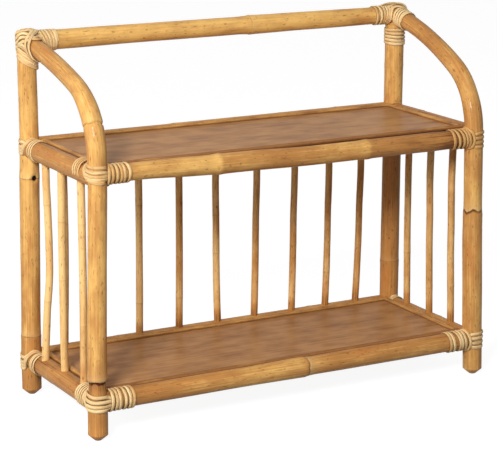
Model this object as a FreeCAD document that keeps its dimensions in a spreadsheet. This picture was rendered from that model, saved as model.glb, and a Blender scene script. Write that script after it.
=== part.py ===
import FreeCAD, Part
import math
import os

import Sketcher
from FreeCAD import Placement, Rotation, Vector

# A two-shelf magazine rack of rattan poles bound with cane. Millimetres, +Z up, front towards -Y.
# The origin is on the floor, midway between the four posts.

SIZES = [
    ("pole_radius", 12.5, "frame poles"),
    ("rear_half_width", 270, "middle plane to a rear post's axis"),
    ("shelf_half_width", 267.5, "middle plane to a front leg's axis at the upper rail"),
    ("foot_spread", 5, "how much further out a front leg stands at the floor"),
    ("half_depth", 100, "middle plane to the post axes, front and rear"),
    ("lower_rail_height", 46.5, "axis of the lower rails"),
    ("upper_rail_height", 321.5, "axis of the upper rails"),
    ("top_rail_height", 454.5, "axis of the top rail and of the arms' rear ends"),
    ("rear_post_height", 467, "rear posts, floor to rounded top"),
    ("post_top_rounding", 5, "rounding of a rear post's top edge"),
    ("saw_allowance", 0.1, "extra length of a front leg, sawn level with the floor"),
    ("foot_taper", 8, "how far a foot's edge is cut in"),
    ("foot_taper_height", 7, "how high that cut reaches"),
    ("left_bend_start", 343.5, "height where the left leg begins to bend"),
    ("left_bend_radius", 82, "tight part of the left arm's bend"),
    ("left_bend_angle", 71, "turn in the tight part of the left arm's bend"),
    ("right_bend_start", 328.5, "height where the right leg begins to bend"),
    ("right_bend_radius", 87, "tight part of the right arm's bend"),
    ("right_bend_angle", 61, "turn in the tight part of the right arm's bend"),
    ("knot_rise", 0.7, "how far a growth ring stands out of a pole"),
    ("knot_length", 9, "length of a growth ring along its pole"),
    ("rail_end_trim", 5, "post's axis to the trimmed end of a rail or arm"),
    ("panel_thickness", 6, "shelf boards"),
    ("panel_drop", 3, "rail's top down to the board's face"),
    ("panel_gap", 2, "clearance between a board's edge and the rails, where the cane passes"),
    ("bead_width", 9.4, "split cane bead"),
    ("bead_height", 4, "split cane bead"),
    ("bead_offset", 8.6, "rail's axis to the bead's outer edge"),
    ("long_bead_end", 11, "side rail's axis to the end of a front or rear bead"),
    ("spindle_radius", 5, "upright spindles"),
    ("socket_depth", 9, "how far spindles and bearers enter the rails"),
    ("rear_spindle_pitch", 55.5, "even spacing of the rear spindles"),
    ("side_spindle_pitch", 52, "even spacing of the side spindles"),
    ("bearer_radius", 9, "poles under the boards"),
    ("bearer_offset", 88, "middle plane to a bearer's axis"),
    ("cane_width", 5.2, "binding strip"),
    ("cane_thickness", 1.8, "binding strip"),
    ("cane_pitch", 5, "spacing of the turns round a pole"),
    ("strand_pitch", 5.4, "spacing of the strands round a post"),
    ("first_turn", 15.6, "post's axis to the middle of the first turn"),
    ("first_side_turn", 27, "front post's axis to the first turn on a side rail"),
    ("first_arm_turn", 13, "arm's end to its first turn"),
    ("first_post_turn", 18.5, "top rail's axis down to the first turn on the post"),
    ("strand_gap", 0.2, "post's surface to the strands round it"),
    ("crossing_radius", 14.4, "crossed strands over a top corner, from each pole's axis"),
    ("crossing_reach", 16, "how far the crossed strands run along each pole"),
    ("screw_radius", 2, "frame screws"),
    ("screw_head_radius", 3.8, "frame screws"),
    ("screw_length", 48, "frame screws"),
    ("screw_offset", 4, "screw above or below the rail's axis"),
    ("panel_pin_radius", 0.9, "pins through a board into a bearer"),
    ("panel_pin_length", 17, "pins through a board into a bearer"),
    ("panel_pin_inset", 15, "rail's axis to a panel pin"),
    ("bead_pin_radius", 0.6, "brads through a bead"),
    ("bead_pin_length", 8, "brads through a bead"),
    ("bead_pin_inset", 15.5, "rail's axis to a bead pin"),
]

# Height or place of the growth rings along each pole, from its lower or left end.
KNOTS = {
    "rear_post_left": (78, 283),
    "rear_post_right": (110, 383),
    "front_post_left": (74,),
    "front_post_right": (222,),
    "top_rail": (308,),
    "upper_front_rail": (153, 363),
    "upper_rear_rail": (198, 443),
    "lower_front_rail": (283,),
    "lower_rear_rail": (115, 405),
    "upper_side_rail_left": (75,),
    "upper_side_rail_right": (120,),
    "lower_side_rail_left": (118,),
    "lower_side_rail_right": (72,),
}

# Hand fitting: how far each spindle stands off its even place, and its bow, positive towards +X or +Y.
REAR_SPINDLES = [(-1, 2), (-4, -2), (-7, 1), (-4, 1), (-4, -3), (1, 2), (4, 2), (2, 3), (-3, 4)]
LEFT_SPINDLES = [(-5, -2), (-1, 2), (1, -10)]
RIGHT_SPINDLES = [(-1, 3), (-2, 3), (1, 2)]

# Where the beads are pinned along the rack and across it.
LONG_BEAD_PINS = (-225, -112, 0, 112, 225)
SHORT_BEAD_PINS = (-50, 50)

doc = FreeCAD.newDocument("magazine_rack")
sheet = doc.addObject("Spreadsheet::Sheet", "sizes")
for row, (alias, value, note) in enumerate(SIZES, start=1):
    sheet.set(f"A{row}", alias)
    sheet.set(f"B{row}", str(value))
    sheet.setAlias(f"B{row}", alias)
    sheet.set(f"C{row}", note)
doc.recompute()

NODES = []


def size(alias):
    """The number in a named cell."""
    return float(sheet.get(alias))


def amount(expression):
    """The number that an expression on the sheet gives."""
    return float(sheet.evalExpression(expression))


def node(obj, label):
    """Mark an object of the document as a finished piece with its own file."""
    obj.Label = label
    NODES.append(obj)
    return obj


def place(obj, x, y, z, rotation=Rotation()):
    """Turn an object, and bind its place to expressions on the sheet."""
    obj.Placement = Placement(Vector(0, 0, 0), rotation)
    for axis, expression in zip("xyz", (x, y, z)):
        obj.setExpression(f"Placement.Base.{axis}", expression)
    return obj


# Turns that lay a body's own +Z along the rack.
ALONG_X = Rotation(Vector(0, 1, 0), 90)
AGAINST_X = Rotation(Vector(0, 1, 0), -90)
ALONG_Y = Rotation(Vector(1, 0, 0), -90)
AGAINST_Y = Rotation(Vector(1, 0, 0), 90)
DOWN = Rotation(Vector(1, 0, 0), 180)


def heading(degrees):
    """A turn about +Z."""
    return Rotation(Vector(0, 0, 1), degrees)


def origin_plane(body, role):
    """One of a body's own origin planes."""
    for feature in body.Origin.OriginFeatures:
        if feature.Role == role:
            return feature
    raise ValueError(role)


def add_sketch(body, role, name):
    sketch = body.newObject("Sketcher::SketchObject", name)
    sketch.AttachmentSupport = [(origin_plane(body, role), "")]
    sketch.MapMode = "FlatFace"
    return sketch


def constrain(sketch, kind, *where, expression=None):
    """Add a constraint, and bind its value when it has one."""
    index = sketch.addConstraint(Sketcher.Constraint(kind, *where))
    if expression is not None:
        sketch.setExpression(f"Constraints[{index}]", expression)
    return index


def add_circle(sketch, radius_expression):
    """A circle about the sketch's origin."""
    circle = sketch.addGeometry(Part.Circle(Vector(0, 0, 0), Vector(0, 0, 1), 10))
    constrain(sketch, "Coincident", circle, 3, -1, 1)
    constrain(sketch, "Radius", circle, 10, expression=radius_expression)
    return circle


def add_revolution(body, sketch, name):
    """Turn a section round the body's own Z axis."""
    turned = body.newObject("PartDesign::Revolution", name)
    turned.Profile = sketch
    turned.ReferenceAxis = (sketch, ["V_Axis"])
    turned.Angle = 360
    return turned


def add_knot(body, height, index):
    """A growth ring: a low swelling all round the pole."""
    radius = size("pole_radius")
    half = size("knot_length") / 2
    rise = size("knot_rise")
    sketch = add_sketch(body, "XZ_Plane", f"{body.Name}_knot_{index}_section")
    inner = radius - 1
    low = Vector(inner, height - half, 0)
    high = Vector(inner, height + half, 0)
    crown = Vector(radius + rise, height, 0)
    base = sketch.addGeometry(Part.LineSegment(high, low))
    swell = sketch.addGeometry(Part.Arc(low, crown, high))
    constrain(sketch, "Coincident", base, 2, swell, 1)
    constrain(sketch, "Coincident", base, 1, swell, 2)
    return add_revolution(body, sketch, f"{body.Name}_knot_{index}")


def foot_edge(shape):
    """The name of the round edge at the bottom of an upright pole."""
    lowest = min(range(len(shape.Edges)), key=lambda i: shape.Edges[i].BoundBox.ZMax)
    return f"Edge{lowest + 1}"


def top_edge(shape):
    """The name of the round edge at the top of an upright pole."""
    highest = max(range(len(shape.Edges)), key=lambda i: shape.Edges[i].BoundBox.ZMin)
    return f"Edge{highest + 1}"


def add_foot_taper(body, feature):
    """The foot is whittled to a blunt cone."""
    doc.recompute()
    taper = body.newObject("PartDesign::Chamfer", f"{body.Name}_foot_taper")
    taper.Base = (feature, [foot_edge(feature.Shape)])
    taper.ChamferType = "Two distances"
    taper.setExpression("Size", "sizes.foot_taper")
    taper.setExpression("Size2", "sizes.foot_taper_height")
    doc.recompute()
    bottom = min(taper.Shape.Faces, key=lambda face: face.BoundBox.ZMax)
    flat_radius = size("pole_radius") - size("foot_taper")
    if abs(bottom.Area - math.pi * flat_radius**2) > 1:
        taper.FlipDirection = True
    return taper


def straight_pole(name, length_expression, radius_expression="sizes.pole_radius"):
    """A round pole along its own +Z, with its growth rings."""
    body = doc.addObject("PartDesign::Body", f"{name}_pole")
    sketch = add_sketch(body, "XY_Plane", f"{name}_section")
    add_circle(sketch, radius_expression)
    pad = body.newObject("PartDesign::Pad", f"{name}_length")
    pad.Profile = sketch
    pad.setExpression("Length", length_expression)
    for index, height in enumerate(KNOTS.get(name, ())):
        add_knot(body, height, index)
    return body


def gather(name, members):
    """Several solids that stand apart, as one tool."""
    group = doc.addObject("Part::Compound", name)
    group.Links = members
    return group


def cut(label, base, tools):
    """A piece scribed to its neighbours, one after the other."""
    piece = base
    for index, tool in enumerate(tools, start=1):
        scribed = doc.addObject("Part::Cut", f"{label}_cut_{index}")
        scribed.Base = piece
        scribed.Tool = tool
        piece = scribed
    return node(piece, label)


# Rear posts: straight, tapered at the foot and rounded at the top.

REAR = "sizes.half_depth"
FRONT = "-sizes.half_depth"
REAR_X = {"left": "-sizes.rear_half_width", "right": "sizes.rear_half_width"}
SIGN = {"left": "-", "right": ""}


def rear_post(side):
    body = straight_pole(f"rear_post_{side}", "sizes.rear_post_height")
    taper = add_foot_taper(body, body.Tip)
    doc.recompute()
    rounding = body.newObject("PartDesign::Fillet", f"rear_post_{side}_rounding")
    rounding.Base = (taper, [top_edge(taper.Shape)])
    rounding.setExpression("Radius", "sizes.post_top_rounding")
    doc.recompute()
    return place(body, REAR_X[side], REAR, "0")


# Front posts: one pole that stands as a leg and bends back as an arm. The bend has a tight part and a
# slack part, which ends at the rear post at the top rail's height. The leg leans in as it rises, and the
# arm swings out again to meet the rear post.


def arm_path(side):
    """Points on the pole's axis in its own upright plane: y towards the rear and z up."""
    start = size(f"{side}_bend_start")
    radius = size(f"{side}_bend_radius")
    angle = math.radians(size(f"{side}_bend_angle"))

    def on_tight_bend(turned):
        return Vector(radius * (1 - math.cos(turned)), start + radius * math.sin(turned), 0)

    joint = on_tight_bend(angle)
    end = Vector(2 * size("half_depth") - size("rail_end_trim"), size("top_rail_height"), 0)
    tangent = Vector(math.sin(angle), math.cos(angle), 0)
    normal = Vector(tangent.y, -tangent.x, 0)
    chord = end - joint
    slack_radius = chord.Length**2 / (2 * chord.dot(normal))
    centre = joint + normal * slack_radius
    middle = (joint + end) * 0.5 - centre
    slack_middle = centre + middle.normalize() * slack_radius
    leg = Part.LineSegment(Vector(0, 0, 0), Vector(0, start, 0))
    tight = Part.Arc(joint, on_tight_bend(angle / 2), Vector(0, start, 0))
    slack = Part.Arc(end, slack_middle, joint)
    return leg, tight, slack


def front_post(side):
    name = f"front_post_{side}"
    body = doc.addObject("PartDesign::Body", f"{name}_pole")
    section = add_sketch(body, "XY_Plane", f"{name}_section")
    add_circle(section, "sizes.pole_radius")
    path = add_sketch(body, "YZ_Plane", f"{name}_path")
    leg, tight, slack = [path.addGeometry(piece) for piece in arm_path(side)]
    constrain(path, "Coincident", leg, 1, -1, 1)
    constrain(path, "Coincident", leg, 2, tight, 2)
    constrain(path, "Coincident", tight, 1, slack, 2)
    sweep = body.newObject("PartDesign::AdditivePipe", f"{name}_sweep")
    sweep.Profile = section
    sweep.Spine = (path, ["Edge1", "Edge2", "Edge3"])
    doc.recompute()
    for index, height in enumerate(KNOTS[name]):
        add_knot(body, height, index)
    add_foot_taper(body, body.Tip)
    lean = math.atan(size("foot_spread") / size("upper_rail_height"))
    foot_half = "(sizes.shelf_half_width + sizes.foot_spread)"
    arm_end_half = amount(foot_half) - size("top_rail_height") * math.sin(lean)
    swing = math.asin((size("rear_half_width") - arm_end_half) / (2 * size("half_depth")))
    way = 1 if side == "left" else -1
    lean_in = Rotation(Vector(0, 1, 0), way * math.degrees(lean))
    turn = lean_in.multiply(heading(way * math.degrees(swing)))
    return place(body, f"{SIGN[side]}{foot_half}", FRONT, "-sizes.saw_allowance", turn)


floor_saw = doc.addObject("Part::Box", "floor_saw")
floor_saw.Length = 700
floor_saw.Width = 400
floor_saw.Height = 5
floor_saw.Placement.Base = Vector(-350, -200, -5)

rear_posts = {side: rear_post(side) for side in ("left", "right")}
front_posts = {side: front_post(side) for side in ("left", "right")}

# Rails: round poles from post axis to post axis, scribed to the posts.

HEIGHT = {"lower": "sizes.lower_rail_height", "upper": "sizes.upper_rail_height"}
LEVELS = ("lower", "upper")


def front_half(level):
    """Middle plane to a front leg's axis at a rail's height."""
    return f"(sizes.shelf_half_width + sizes.foot_spread * (1 - {HEIGHT[level]} / sizes.upper_rail_height))"


def side_half(level):
    """Middle plane to a side rail's axis: halfway between the front leg and the rear post."""
    return f"(0.5 * {front_half(level)} + 0.5 * sizes.rear_half_width)"


def cross_pole(name, half, y, z):
    """A pole from the left post to the right one."""
    reach = f"({half} - sizes.rail_end_trim)"
    return place(straight_pole(name, f"2 * {reach}"), f"-{reach}", y, z, ALONG_X)


def rail_pole(level, which):
    """One of the four rails of a shelf, before it is scribed."""
    name = f"{level}_{which}"
    if which == "front_rail":
        return cross_pole(name, front_half(level), FRONT, HEIGHT[level])
    if which == "rear_rail":
        return cross_pole(name, "sizes.rear_half_width", REAR, HEIGHT[level])
    side = which.rsplit("_", 1)[1]
    reach = "(sizes.half_depth - sizes.rail_end_trim)"
    rail = straight_pole(name, f"2 * {reach}")
    return place(rail, f"{SIGN[side]}{side_half(level)}", f"-{reach}", HEIGHT[level], ALONG_Y)


rails = {
    (level, which): rail_pole(level, which)
    for level in LEVELS
    for which in ("front_rail", "rear_rail", "side_rail_left", "side_rail_right")
}
top_rail = cross_pole("top_rail", "sizes.rear_half_width", REAR, "sizes.top_rail_height")

# Spindles: thin poles, each a little bowed, socketed into the rails above and below.

RAIL_GAP = "sizes.upper_rail_height - sizes.lower_rail_height - 2 * sizes.pole_radius"
SPINDLE_LENGTH = f"({RAIL_GAP} + 2 * sizes.socket_depth)"


def spindle(name, x, y, bow, bow_heading):
    """A spindle from socket to socket: x and y are expressions, and the bow is in millimetres."""
    body = doc.addObject("PartDesign::Body", name)
    section = add_sketch(body, "XY_Plane", f"{name}_section")
    add_circle(section, "sizes.spindle_radius")
    path = add_sketch(body, "XZ_Plane", f"{name}_path")
    length = amount(SPINDLE_LENGTH)
    arc = path.addGeometry(Part.Arc(Vector(0, 0, 0), Vector(abs(bow), length / 2, 0), Vector(0, length, 0)))
    radius = f"{SPINDLE_LENGTH} * {SPINDLE_LENGTH} / {8 * abs(bow)} + {abs(bow) / 2}"
    constrain(path, "Radius", arc, path.Geometry[arc].Radius, expression=radius)
    constrain(path, "Coincident", arc, 1, -1, 1)
    constrain(path, "DistanceY", arc, 1, arc, 2, length, expression=SPINDLE_LENGTH)
    constrain(path, "Vertical", arc, 1, arc, 2)
    sweep = body.newObject("PartDesign::AdditivePipe", f"{name}_sweep")
    sweep.Profile = section
    sweep.Spine = (path, ["Edge1"])
    sweep.Mode = "Frenet"
    turn = bow_heading if bow > 0 else bow_heading + 180
    base = "sizes.lower_rail_height + sizes.pole_radius - sizes.socket_depth"
    place(body, x, y, base, heading(turn))
    return node(body, name)


MEAN_SIDE = f"(0.5 * {side_half('lower')} + 0.5 * {side_half('upper')})"
rear_spindles = []
for number, (shift, bow) in enumerate(REAR_SPINDLES, start=1):
    steps = number - (len(REAR_SPINDLES) + 1) // 2
    x = f"{steps} * sizes.rear_spindle_pitch + {shift}"
    rear_spindles.append(spindle(f"rear_spindle_{number}", x, REAR, bow, 0))
side_spindles = {"left": [], "right": []}
for side, fittings in (("left", LEFT_SPINDLES), ("right", RIGHT_SPINDLES)):
    for number, (shift, bow) in enumerate(fittings, start=1):
        y = f"{number - 2} * sizes.side_spindle_pitch + {shift}"
        x = f"{SIGN[side]}{MEAN_SIDE}"
        side_spindles[side].append(spindle(f"{side}_spindle_{number}", x, y, bow, 90))

# Bearers: thinner poles under the boards, socketed into the front and rear rails.


def panel_top(level):
    """Height of a board's face."""
    return f"({HEIGHT[level]} + sizes.pole_radius - sizes.panel_drop)"


def under_panel(level):
    """Height of a board's underside."""
    return f"({panel_top(level)} - sizes.panel_thickness)"


def bearer(level, side):
    name = f"{level}_bearer_{side}"
    reach = "(sizes.half_depth - sizes.pole_radius + sizes.socket_depth)"
    pole = straight_pole(name, f"2 * {reach}", "sizes.bearer_radius")
    axis_height = f"{under_panel(level)} - sizes.bearer_radius"
    return place(pole, f"{SIGN[side]}sizes.bearer_offset", f"-{reach}", axis_height, ALONG_Y)


bearers = {level: [bearer(level, side) for side in ("left", "right")] for level in LEVELS}

# Screws: countersunk, through a post and into the end grain of a rail or arm.

screw = doc.addObject("PartDesign::Body", "screw")
screw_section = add_sketch(screw, "XZ_Plane", "screw_section")
shank = size("screw_radius")
head = size("screw_head_radius")
screw_end = size("screw_length")
screw_outline = [
    Vector(0, 0, 0),
    Vector(head, 0, 0),
    Vector(shank, head - shank, 0),
    Vector(shank, screw_end - 2 * shank, 0),
    Vector(0, screw_end, 0),
]
for first, second in zip(screw_outline, screw_outline[1:] + screw_outline[:1]):
    screw_section.addGeometry(Part.LineSegment(first, second))
add_revolution(screw, screw_section, "screw_turned")
doc.recompute()


def pin_shape(radius, length):
    """A plain pin with its head up, standing below its own origin."""
    return Part.makeCylinder(radius, length, Vector(0, 0, -length))


def grouped(label, shape, placements):
    """Identical fasteners as separate solids of one node."""
    group = doc.addObject("Part::Feature", f"{label}_group")
    copies = []
    for placement in placements:
        copy = shape.copy()
        copy.Placement = placement
        copies.append(copy)
    group.Shape = Part.makeCompound(copies)
    group.Placement = Placement()
    return node(group, label)


def screw_places():
    """Screws along X sit above a rail's axis and screws along Y below it, to pass each other in a post."""
    offset = size("screw_offset")
    sink = math.sqrt(size("pole_radius") ** 2 - size("screw_head_radius") ** 2)
    depth = size("half_depth")
    rear_x = size("rear_half_width")
    top = size("top_rail_height")
    corners = [(rear_x, depth, top, AGAINST_Y)]
    for level in LEVELS:
        height = size(f"{level}_rail_height")
        corners.append((rear_x, depth, height, AGAINST_Y))
        corners.append((amount(front_half(level)), -depth, height, ALONG_Y))
    places = []
    for x, y, height, inwards in corners:
        face = math.copysign(depth + sink, y)
        places.append(Placement(Vector(-x - sink, y, height + offset), ALONG_X))
        places.append(Placement(Vector(x + sink, y, height + offset), AGAINST_X))
        places.append(Placement(Vector(-x, face, height - offset), inwards))
        places.append(Placement(Vector(x, face, height - offset), inwards))
    return places


screws = grouped("frame_screws", screw.Shape, screw_places())


def panel_pin_places():
    """Under the front and rear beads, over each bearer."""
    x = size("bearer_offset")
    y = size("half_depth") - size("panel_pin_inset")
    places = []
    for level in LEVELS:
        height = amount(panel_top(level))
        for way in (-1, 1):
            places.append(Placement(Vector(way * x, -y, height), Rotation()))
            places.append(Placement(Vector(way * x, y, height), Rotation()))
    return places


def bead_top(level):
    """Height of a bead over its pins, which stand off its middle line."""
    half = size("bead_width") / 2
    rise = size("bead_height")
    round_radius = (half**2 + rise**2) / (2 * rise)
    off_middle = size("bead_pin_inset") - size("bead_offset") - half
    return amount(panel_top(level)) + rise - round_radius + math.sqrt(round_radius**2 - off_middle**2)


def bead_pin_places():
    places = []
    for level in LEVELS:
        height = bead_top(level)
        x = amount(side_half(level)) - size("bead_pin_inset")
        y = size("half_depth") - size("bead_pin_inset")
        for way in (-1, 1):
            places += [Placement(Vector(along, way * y, height), Rotation()) for along in LONG_BEAD_PINS]
            places += [Placement(Vector(way * x, along, height), Rotation()) for along in SHORT_BEAD_PINS]
    return places


panel_pins = grouped(
    "panel_pins", pin_shape(size("panel_pin_radius"), size("panel_pin_length")), panel_pin_places()
)
bead_pins = grouped(
    "bead_pins", pin_shape(size("bead_pin_radius"), size("bead_pin_length")), bead_pin_places()
)

# The frame, each piece scribed to what it meets.

for side in ("left", "right"):
    cut(f"rear_post_{side}", rear_posts[side], [screws])
rear_pair = gather("rear_posts", list(rear_posts.values()))
front_pair = gather("front_posts", list(front_posts.values()))
top_rail_node = cut("top_rail", top_rail, [rear_pair, screws])
for side in ("left", "right"):
    tools = [rear_posts[side], top_rail_node, screws, floor_saw]
    cut(f"front_post_{side}", front_posts[side], tools)

rear_spindle_row = gather("rear_spindles", rear_spindles)
spindle_rows = {side: gather(f"{side}_spindles", row) for side, row in side_spindles.items()}
for level in LEVELS:
    front_rail = rails[(level, "front_rail")]
    rear_rail = rails[(level, "rear_rail")]
    bearer_pair = gather(f"{level}_bearers", bearers[level])
    cut(f"{level}_front_rail", front_rail, [front_pair, bearer_pair, screws])
    cut(f"{level}_rear_rail", rear_rail, [rear_pair, bearer_pair, rear_spindle_row, screws])
    for side in ("left", "right"):
        tools = [front_posts[side], rear_posts[side], front_rail, rear_rail, spindle_rows[side], screws]
        cut(f"{level}_side_rail_{side}", rails[(level, f"side_rail_{side}")], tools)
    for side, pole in zip(("left", "right"), bearers[level]):
        cut(f"{level}_bearer_{side}", pole, [panel_pins])

# Shelf boards: between the rails, a little below their tops.


def panel(level):
    board = doc.addObject("Part::Box", f"{level}_board")
    half_length = f"({side_half(level)} - sizes.pole_radius - sizes.panel_gap)"
    half_width = "(sizes.half_depth - sizes.pole_radius - sizes.panel_gap)"
    board.setExpression("Length", f"2 * {half_length}")
    board.setExpression("Width", f"2 * {half_width}")
    board.setExpression("Height", "sizes.panel_thickness")
    place(board, f"-{half_length}", f"-{half_width}", under_panel(level))
    return cut(f"{level}_shelf_panel", board, [panel_pins, bead_pins])


for level in LEVELS:
    panel(level)

# Beads: half-round split cane over the gap between board and rails. The front and rear beads run through.


def bead_strip(name, length_expression):
    """A half-round along its own +Z, flat side down, from its outer edge towards its own +X."""
    body = doc.addObject("PartDesign::Body", f"{name}_strip")
    sketch = add_sketch(body, "XY_Plane", f"{name}_section")
    width = size("bead_width")
    rise = size("bead_height")
    near = Vector(0, 0, 0)
    far = Vector(width, 0, 0)
    flat = sketch.addGeometry(Part.LineSegment(near, far))
    dome = sketch.addGeometry(Part.Arc(far, Vector(width / 2, rise, 0), near))
    constrain(sketch, "Coincident", flat, 1, -1, 1)
    constrain(sketch, "Horizontal", flat)
    constrain(sketch, "Coincident", flat, 2, dome, 1)
    constrain(sketch, "Coincident", flat, 1, dome, 2)
    constrain(sketch, "DistanceX", flat, 1, flat, 2, width, expression="sizes.bead_width")
    half_chord = "sizes.bead_width / 2"
    radius = f"{half_chord} * {half_chord} / (2 * sizes.bead_height) + sizes.bead_height / 2"
    dome_radius = ((width / 2) ** 2 + rise**2) / (2 * rise)
    constrain(sketch, "Radius", dome, dome_radius, expression=radius)
    pad = body.newObject("PartDesign::Pad", f"{name}_length")
    pad.Profile = sketch
    pad.setExpression("Length", length_expression)
    return body


# The strip's own X, Y and Z become: inwards from the rail, up, and along the rail.
BEAD_TURN = {
    "front": Rotation(Vector(0, 1, 0), Vector(0, 0, 1), Vector(1, 0, 0), "XYZ"),
    "rear": Rotation(Vector(0, -1, 0), Vector(0, 0, 1), Vector(-1, 0, 0), "XYZ"),
    "left": Rotation(Vector(1, 0, 0), Vector(0, 0, 1), Vector(0, -1, 0), "XYZ"),
    "right": Rotation(Vector(-1, 0, 0), Vector(0, 0, 1), Vector(0, 1, 0), "XYZ"),
}


def beads(level):
    long_half = f"({side_half(level)} - sizes.long_bead_end)"
    short_half = "(sizes.half_depth - sizes.bead_offset - sizes.bead_width)"
    inner_y = "(sizes.half_depth - sizes.bead_offset)"
    inner_x = f"({side_half(level)} - sizes.bead_offset)"
    starts = {
        "front": (f"-{long_half}", f"-{inner_y}", long_half),
        "rear": (long_half, inner_y, long_half),
        "left": (f"-{inner_x}", short_half, short_half),
        "right": (inner_x, f"-{short_half}", short_half),
    }
    for which, (x, y, half) in starts.items():
        name = f"{level}_bead_{which}"
        strip = bead_strip(name, f"2 * {half}")
        bead_strips[(level, which)] = place(strip, x, y, panel_top(level), BEAD_TURN[which])
        cut(name, strip, [bead_pins])


bead_strips = {}
for level in LEVELS:
    beads(level)

# Bindings: flat cane, wound round the rails beside each post and carried round the outside of the post.


def turns(name, count, first_expression, inner_radius=None):
    """Turns of cane round a pole that lies along the body's own +Z."""
    body = doc.addObject("PartDesign::Body", name)
    sketch = add_sketch(body, "XZ_Plane", f"{name}_section")
    inner = inner_radius or size("pole_radius")
    outer = size("pole_radius") + size("cane_thickness")
    edge = outer - size("cane_thickness") / 2
    half = size("cane_width") / 2
    first = size(first_expression)
    corners = [
        Vector(edge, first - half, 0),
        Vector(inner, first - half, 0),
        Vector(inner, first + half, 0),
        Vector(edge, first + half, 0),
    ]
    for start, end in zip(corners, corners[1:]):
        sketch.addGeometry(Part.LineSegment(start, end))
    sketch.addGeometry(Part.Arc(corners[0], Vector(outer, first, 0), corners[-1]))
    ring = add_revolution(body, sketch, f"{name}_turn")
    if count > 1:
        doc.recompute()
        pattern = body.newObject("PartDesign::LinearPattern", f"{name}_turns")
        pattern.Originals = [ring]
        pattern.Direction = (sketch, ["V_Axis"])
        pattern.setExpression("Length", f"{count - 1} * sizes.cane_pitch")
        pattern.Occurrences = count
        body.Tip = pattern
    return body


def strands(name, count, reach_a, reach_b):
    """Strands round the outside of a post whose rails run along the body's own +X and +Y."""
    body = doc.addObject("PartDesign::Body", name)
    sketch = add_sketch(body, "XY_Plane", f"{name}_plan")
    inner = size("pole_radius") + size("strand_gap")
    outer = inner + size("cane_thickness")
    bend = math.sqrt(0.5)
    plan = [
        Part.LineSegment(Vector(reach_a, -outer, 0), Vector(0, -outer, 0)),
        Part.Arc(Vector(0, -outer, 0), Vector(-outer * bend, -outer * bend, 0), Vector(-outer, 0, 0)),
        Part.LineSegment(Vector(-outer, 0, 0), Vector(-outer, reach_b, 0)),
        Part.LineSegment(Vector(-outer, reach_b, 0), Vector(-inner, reach_b, 0)),
        Part.LineSegment(Vector(-inner, reach_b, 0), Vector(-inner, 0, 0)),
        Part.Arc(Vector(-inner, 0, 0), Vector(-inner * bend, -inner * bend, 0), Vector(0, -inner, 0)),
        Part.LineSegment(Vector(0, -inner, 0), Vector(reach_a, -inner, 0)),
        Part.LineSegment(Vector(reach_a, -inner, 0), Vector(reach_a, -outer, 0)),
    ]
    for piece in plan:
        sketch.addGeometry(piece)
    pad = body.newObject("PartDesign::Pad", f"{name}_strand")
    pad.Profile = sketch
    pad.setExpression("Length", "sizes.cane_width")
    doc.recompute()
    pattern = body.newObject("PartDesign::LinearPattern", f"{name}_strands")
    pattern.Originals = [pad]
    pattern.Direction = (sketch, ["N_Axis"])
    pattern.setExpression("Length", f"{count - 1} * sizes.strand_pitch")
    pattern.Occurrences = count
    body.Tip = pattern
    return body


def fuse(name, members):
    """Several solids as one."""
    joined = doc.addObject("Part::MultiFuse", name)
    joined.Shapes = members
    return joined


STRANDS = 4
RAIL_TURNS = {"front": 6, "rear": 5, "side": 4}
# How a corner's own +X and +Y are turned to meet its two rails, and which rails those are.
CORNERS = {
    ("front", "left"): (0, "front", "side"),
    ("front", "right"): (90, "side", "front"),
    ("rear", "right"): (180, "rear", "side"),
    ("rear", "left"): (270, "side", "rear"),
}


def shelf_binding(level, row, side):
    """The cane at one corner of a shelf. It lies under the beads and beside the spindles."""
    name = f"binding_{level}_{row}_{side}"
    turn, along_x, along_y = CORNERS[(row, side)]
    half = front_half(level) if row == "front" else "sizes.rear_half_width"
    x = f"{SIGN[side]}{half}"
    y = FRONT if row == "front" else REAR
    first_turns = {row: "first_turn", "side": "first_side_turn" if row == "front" else "first_turn"}
    pieces = []
    for which, rail_turn in ((along_x, ALONG_X), (along_y, ALONG_Y)):
        wound = turns(f"{name}_on_{which}_rail", RAIL_TURNS[which], first_turns[which])
        rail_x = f"{SIGN[side]}{side_half(level)}" if which == "side" else x
        place(wound, rail_x, y, HEIGHT[level], heading(turn).multiply(rail_turn))
        pieces.append(wound)
    band = strands(f"{name}_round_post", STRANDS, size(first_turns[along_x]), size(first_turns[along_y]))
    band_height = f"(({STRANDS} - 1) * sizes.strand_pitch + sizes.cane_width)"
    place(band, x, y, f"{HEIGHT[level]} - {band_height} / 2", heading(turn))
    pieces.append(band)
    tools = [
        rails[(level, f"{row}_rail")],
        rails[(level, f"side_rail_{side}")],
        bead_strips[(level, row)],
        bead_strips[(level, side)],
        spindle_rows[side],
    ]
    return cut(name, fuse(f"{name}_wound", pieces), tools)


for level in LEVELS:
    for row, side in CORNERS:
        shelf_binding(level, row, side)

TOP_TURNS = 6
POST_TURNS = 5
ARM_TURNS = {"left": 1, "right": 5}


def arm_end_placement(side):
    """The arm's rear end, with +Z running forward along the arm."""
    slack = arm_path(side)[2]
    end = slack.StartPoint
    tangent = slack.tangent(slack.FirstParameter)[0]
    forward = Vector(0, tangent.x, tangent.y)
    local = Placement(Vector(0, end.x, end.y), Rotation(Vector(0, 0, 1), forward))
    return front_posts[side].Placement.multiply(local)


def crossing(name, placement):
    """The crossed strands along one pole of a top corner, as a sleeve that the pole then fills."""
    sleeve = doc.addObject("Part::Cylinder", name)
    sleeve.setExpression("Radius", "sizes.crossing_radius")
    sleeve.setExpression("Height", "sizes.crossing_reach")
    sleeve.Placement = placement
    return sleeve


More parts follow.
